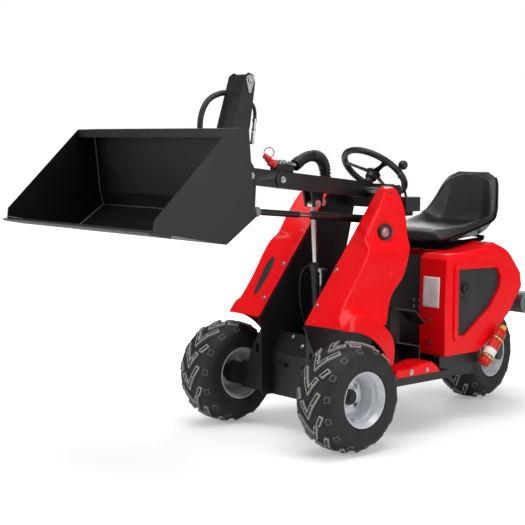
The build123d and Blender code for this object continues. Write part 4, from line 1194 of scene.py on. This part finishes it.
class LOADER_OT_seat(bpy.types.Operator):
    """One-piece vinyl seat with its seams, its pan and the bellows under it"""

    bl_idname = "loader.seat"
    bl_label = "Seat"

    def execute(self, context):
        form = SeatForm(1.5)
        turn = np.linspace(0, 2 * np.pi, 112, endpoint=False)
        c, s = np.cos(turn), np.sin(turn)
        shape_y, shape_n = np.sign(c) * abs(c) ** SQUARE, np.sign(s) * abs(s) ** FULL
        rows = np.arange(SEAT_ROWS)[:, None]
        body = form.point(rows, form.half[rows] * shape_y, form.thick[rows] / 2 * shape_n)

        def end(row, widths, depths):
            """Rounded end of the moulding: narrower and thinner rows beyond the given one."""
            step = unit((body[row] - body[row + (1 if row == 0 else -1)]).mean(0))
            out = []
            for wide, deep in zip(widths, depths):
                p = form.point(row, form.half[row] * shape_y * wide, form.thick[row] / 2 * shape_n * deep)
                out.append(p + step * form.thick[row] * MM * 0.42 * math.sqrt(max(0.0, 1 - deep * deep)))
            return out
        front = end(0, (0.9, 0.93, 0.97, 0.99), (0.0, 0.35, 0.7, 0.92))
        top = end(SEAT_ROWS - 1, (0.99, 0.95, 0.88, 0.8), (0.92, 0.7, 0.35, 0.0))
        pad = Piece("seat_pad", "black_vinyl", "root")
        pad.grid(np.concatenate([np.stack(front), body, np.stack(top)]), close_cols=True)
        made = pad.done(("seat_cushion", "seat_back"), smooth=180, subdivide=1)
        self.swollen(made, context.scene.loader.seat_swell)
        self.seams()
        self.pan()
        return {"FINISHED"}

    def seams(self):
        """Sewn lines of the back and cushion, each a row of places on the face."""
        form = SeatForm(0.2)
        piping = Piece("seat_piping", "black_vinyl", "root")
        for height, wide in ((863, 112), (800, 106)):
            row = form.row_at(height)
            piping.tube(form.front(np.full(50, row), np.linspace(-wide, wide, 50)), 0.0026, 8, up=(1, 0, 0))
        low, high = form.row_at(792), form.row_at(930)
        for side in (1, -1):
            rows = np.linspace(low, high, 40)
            y = side * np.interp(np.linspace(0, 1, 40), (0, 0.55, 1), (104, 116, 108))
            spots = np.stack([form.front(int(round(r)), np.array([v]))[0] for r, v in zip(rows, y)])
            piping.tube(resampled(spots, 60), 0.0026, 8, up=(1, 0, 0))
        for row in (12, 20):
            piping.tube(form.front(np.full(50, row), np.linspace(-112, 112, 50)), 0.0022, 8, up=(1, 0, 0))
        piping.done(smooth=60)

    def pan(self):
        """Plastic pan behind the moulding, and the folded bellows between it and the cowl."""
        form = SeatForm(-1.0)
        pan = Piece("seat_pan", "black_plastic", "root")
        rows, across = np.arange(3, SEAT_ROWS - 4)[:, None], np.linspace(-0.965, 0.965, 60)
        c = abs(across) ** (1 / SQUARE)
        depth = form.thick[rows] / 2 * (1 - c * c) ** (FULL / 2)
        pan.grid(form.point(rows, form.half[rows] * across, -depth))
        pan.done(("seat_shell",), smooth=70, thick=0.004)
        bellows = Piece("seat_bellows", "black_plastic", "root")
        turn = np.linspace(0, 2 * np.pi, 120, endpoint=False)
        c, s = np.cos(turn), np.sin(turn)
        rings = []
        for k, level in enumerate(np.linspace(0, 1, 13)):
            fold = 5.0 * (k % 2) + 3.0 * np.sin(7 * turn + k)
            x = -858 + (158 + fold) * np.sign(c) * abs(c) ** 0.5
            y = (170 + fold) * np.sign(s) * abs(s) ** 0.5
            low = np.interp(-x, (700, 890, 1020), (683, 702, 716))
            high = 712 + 16 * np.clip((-x - 700) / 300, 0, 1)
            rings.append(place(0, 0, 0) + np.stack([x, y, low + level * (high - low)], -1) * MM)
        bellows.grid(np.stack(rings), close_cols=True)
        bellows.done(("seat_shell",), smooth=60)

    def swollen(self, made, swell):
        """Swells a pad with a cloth simulation; no point moves further than swell."""
        scene = bpy.context.scene
        rest = np.empty(len(made.data.vertices) * 3)
        made.data.vertices.foreach_get("co", rest)
        rest = rest.reshape(-1, 3)
        trial = bpy.data.objects.new("trial", made.data.copy())
        scene.collection.objects.link(trial)
        cloth = trial.modifiers.new("cloth", "CLOTH")
        cloth.settings.use_pressure = True
        cloth.settings.uniform_pressure_force = 4.0
        cloth.settings.effector_weights.gravity = 0.0
        cloth.settings.tension_stiffness = cloth.settings.compression_stiffness = 40.0
        for step in range(1, 17):
            scene.frame_set(step)
        shaped = trial.evaluated_get(bpy.context.evaluated_depsgraph_get())
        moved = np.empty(len(rest) * 3)
        shaped.data.vertices.foreach_get("co", moved)
        scene.frame_set(1)
        bpy.data.objects.remove(trial)
        shift = moved.reshape(-1, 3) - rest
        far = np.linalg.norm(shift, axis=1, keepdims=True)
        shift *= np.minimum(1.0, swell / np.maximum(far, 1e-9))
        low = rest[:, 2].min()
        shift[rest[:, 2] < low + 0.01] = 0.0
        made.data.vertices.foreach_set("co", (rest + shift).ravel())
        made.data.update()


# CAD nodes that stay
class LOADER_OT_dress(bpy.types.Operator):
    """Procedural finishes on the CAD nodes that stay in view"""

    bl_idname = "loader.dress"
    bl_label = "Finishes on the CAD nodes"

    def execute(self, context):
        for name, node in NODES.items():
            node.data.materials.clear()
            node.data.materials.append(FINISHES[SLOTS[name]])
        return {"FINISHED"}


class LoaderSettings(bpy.types.PropertyGroup):
    """Sizes and colours that a user of the add-on may change"""

    lug_rise: bpy.props.FloatProperty(
        name="Lug height", description="Height of the tread's lugs above the carcass",
        default=0.0105, min=0.004, max=0.011, unit="LENGTH")
    sleeve_bore: bpy.props.FloatProperty(
        name="Sleeve diameter", description="Outside diameter of the hose sleeve on the boom",
        default=0.045, min=0.03, max=0.06, unit="LENGTH")
    seat_swell: bpy.props.FloatProperty(
        name="Seat swell", description="Furthest that the padding may rise under its cover",
        default=0.004, min=0.0, max=0.008, unit="LENGTH")
    moulding_colour: bpy.props.FloatVectorProperty(
        name="Moulding colour", description="Colour of the fairings, the cowl and the sills",
        default=(0.86, 0.003, 0.007), min=0.0, max=1.0, size=3, subtype="COLOR")
    rim_colour: bpy.props.FloatVectorProperty(
        name="Rim colour", description="Colour of the wheel rims",
        default=(0.72, 0.745, 0.78), min=0.0, max=1.0, size=3, subtype="COLOR")


class LOADER_PT_panel(bpy.types.Panel):
    """Buttons for the loader's pieces"""

    bl_label = "Mini loader"
    bl_idname = "LOADER_PT_panel"
    bl_space_type = "VIEW_3D"
    bl_region_type = "UI"
    bl_category = "Loader"

    def draw(self, context):
        for setting in ("lug_rise", "sleeve_bore", "seat_swell", "moulding_colour", "rim_colour"):
            self.layout.prop(context.scene.loader, setting)
        for operator in OPERATORS:
            self.layout.operator(operator.bl_idname)


OPERATORS = (LOADER_OT_stage, LOADER_OT_dress, LOADER_OT_wheels, LOADER_OT_fairings, LOADER_OT_boom,
             LOADER_OT_bucket, LOADER_OT_steering, LOADER_OT_body, LOADER_OT_seat)
FINISHES = {}


def register():
    for made in (LoaderSettings, *OPERATORS, LOADER_PT_panel):
        bpy.utils.register_class(made)
    bpy.types.Scene.loader = bpy.props.PointerProperty(type=LoaderSettings)


def unregister():
    del bpy.types.Scene.loader
    for made in reversed((LoaderSettings, *OPERATORS, LOADER_PT_panel)):
        bpy.utils.unregister_class(made)


def main():
    register()
    FINISHES.update(make_finishes(bpy.context.scene.loader))
    for operator in OPERATORS:
        group, name = operator.bl_idname.split(".")
        getattr(getattr(bpy.ops, group), name)()
    bpy.context.view_layer.update()


if __name__ == "__main__":
    main()
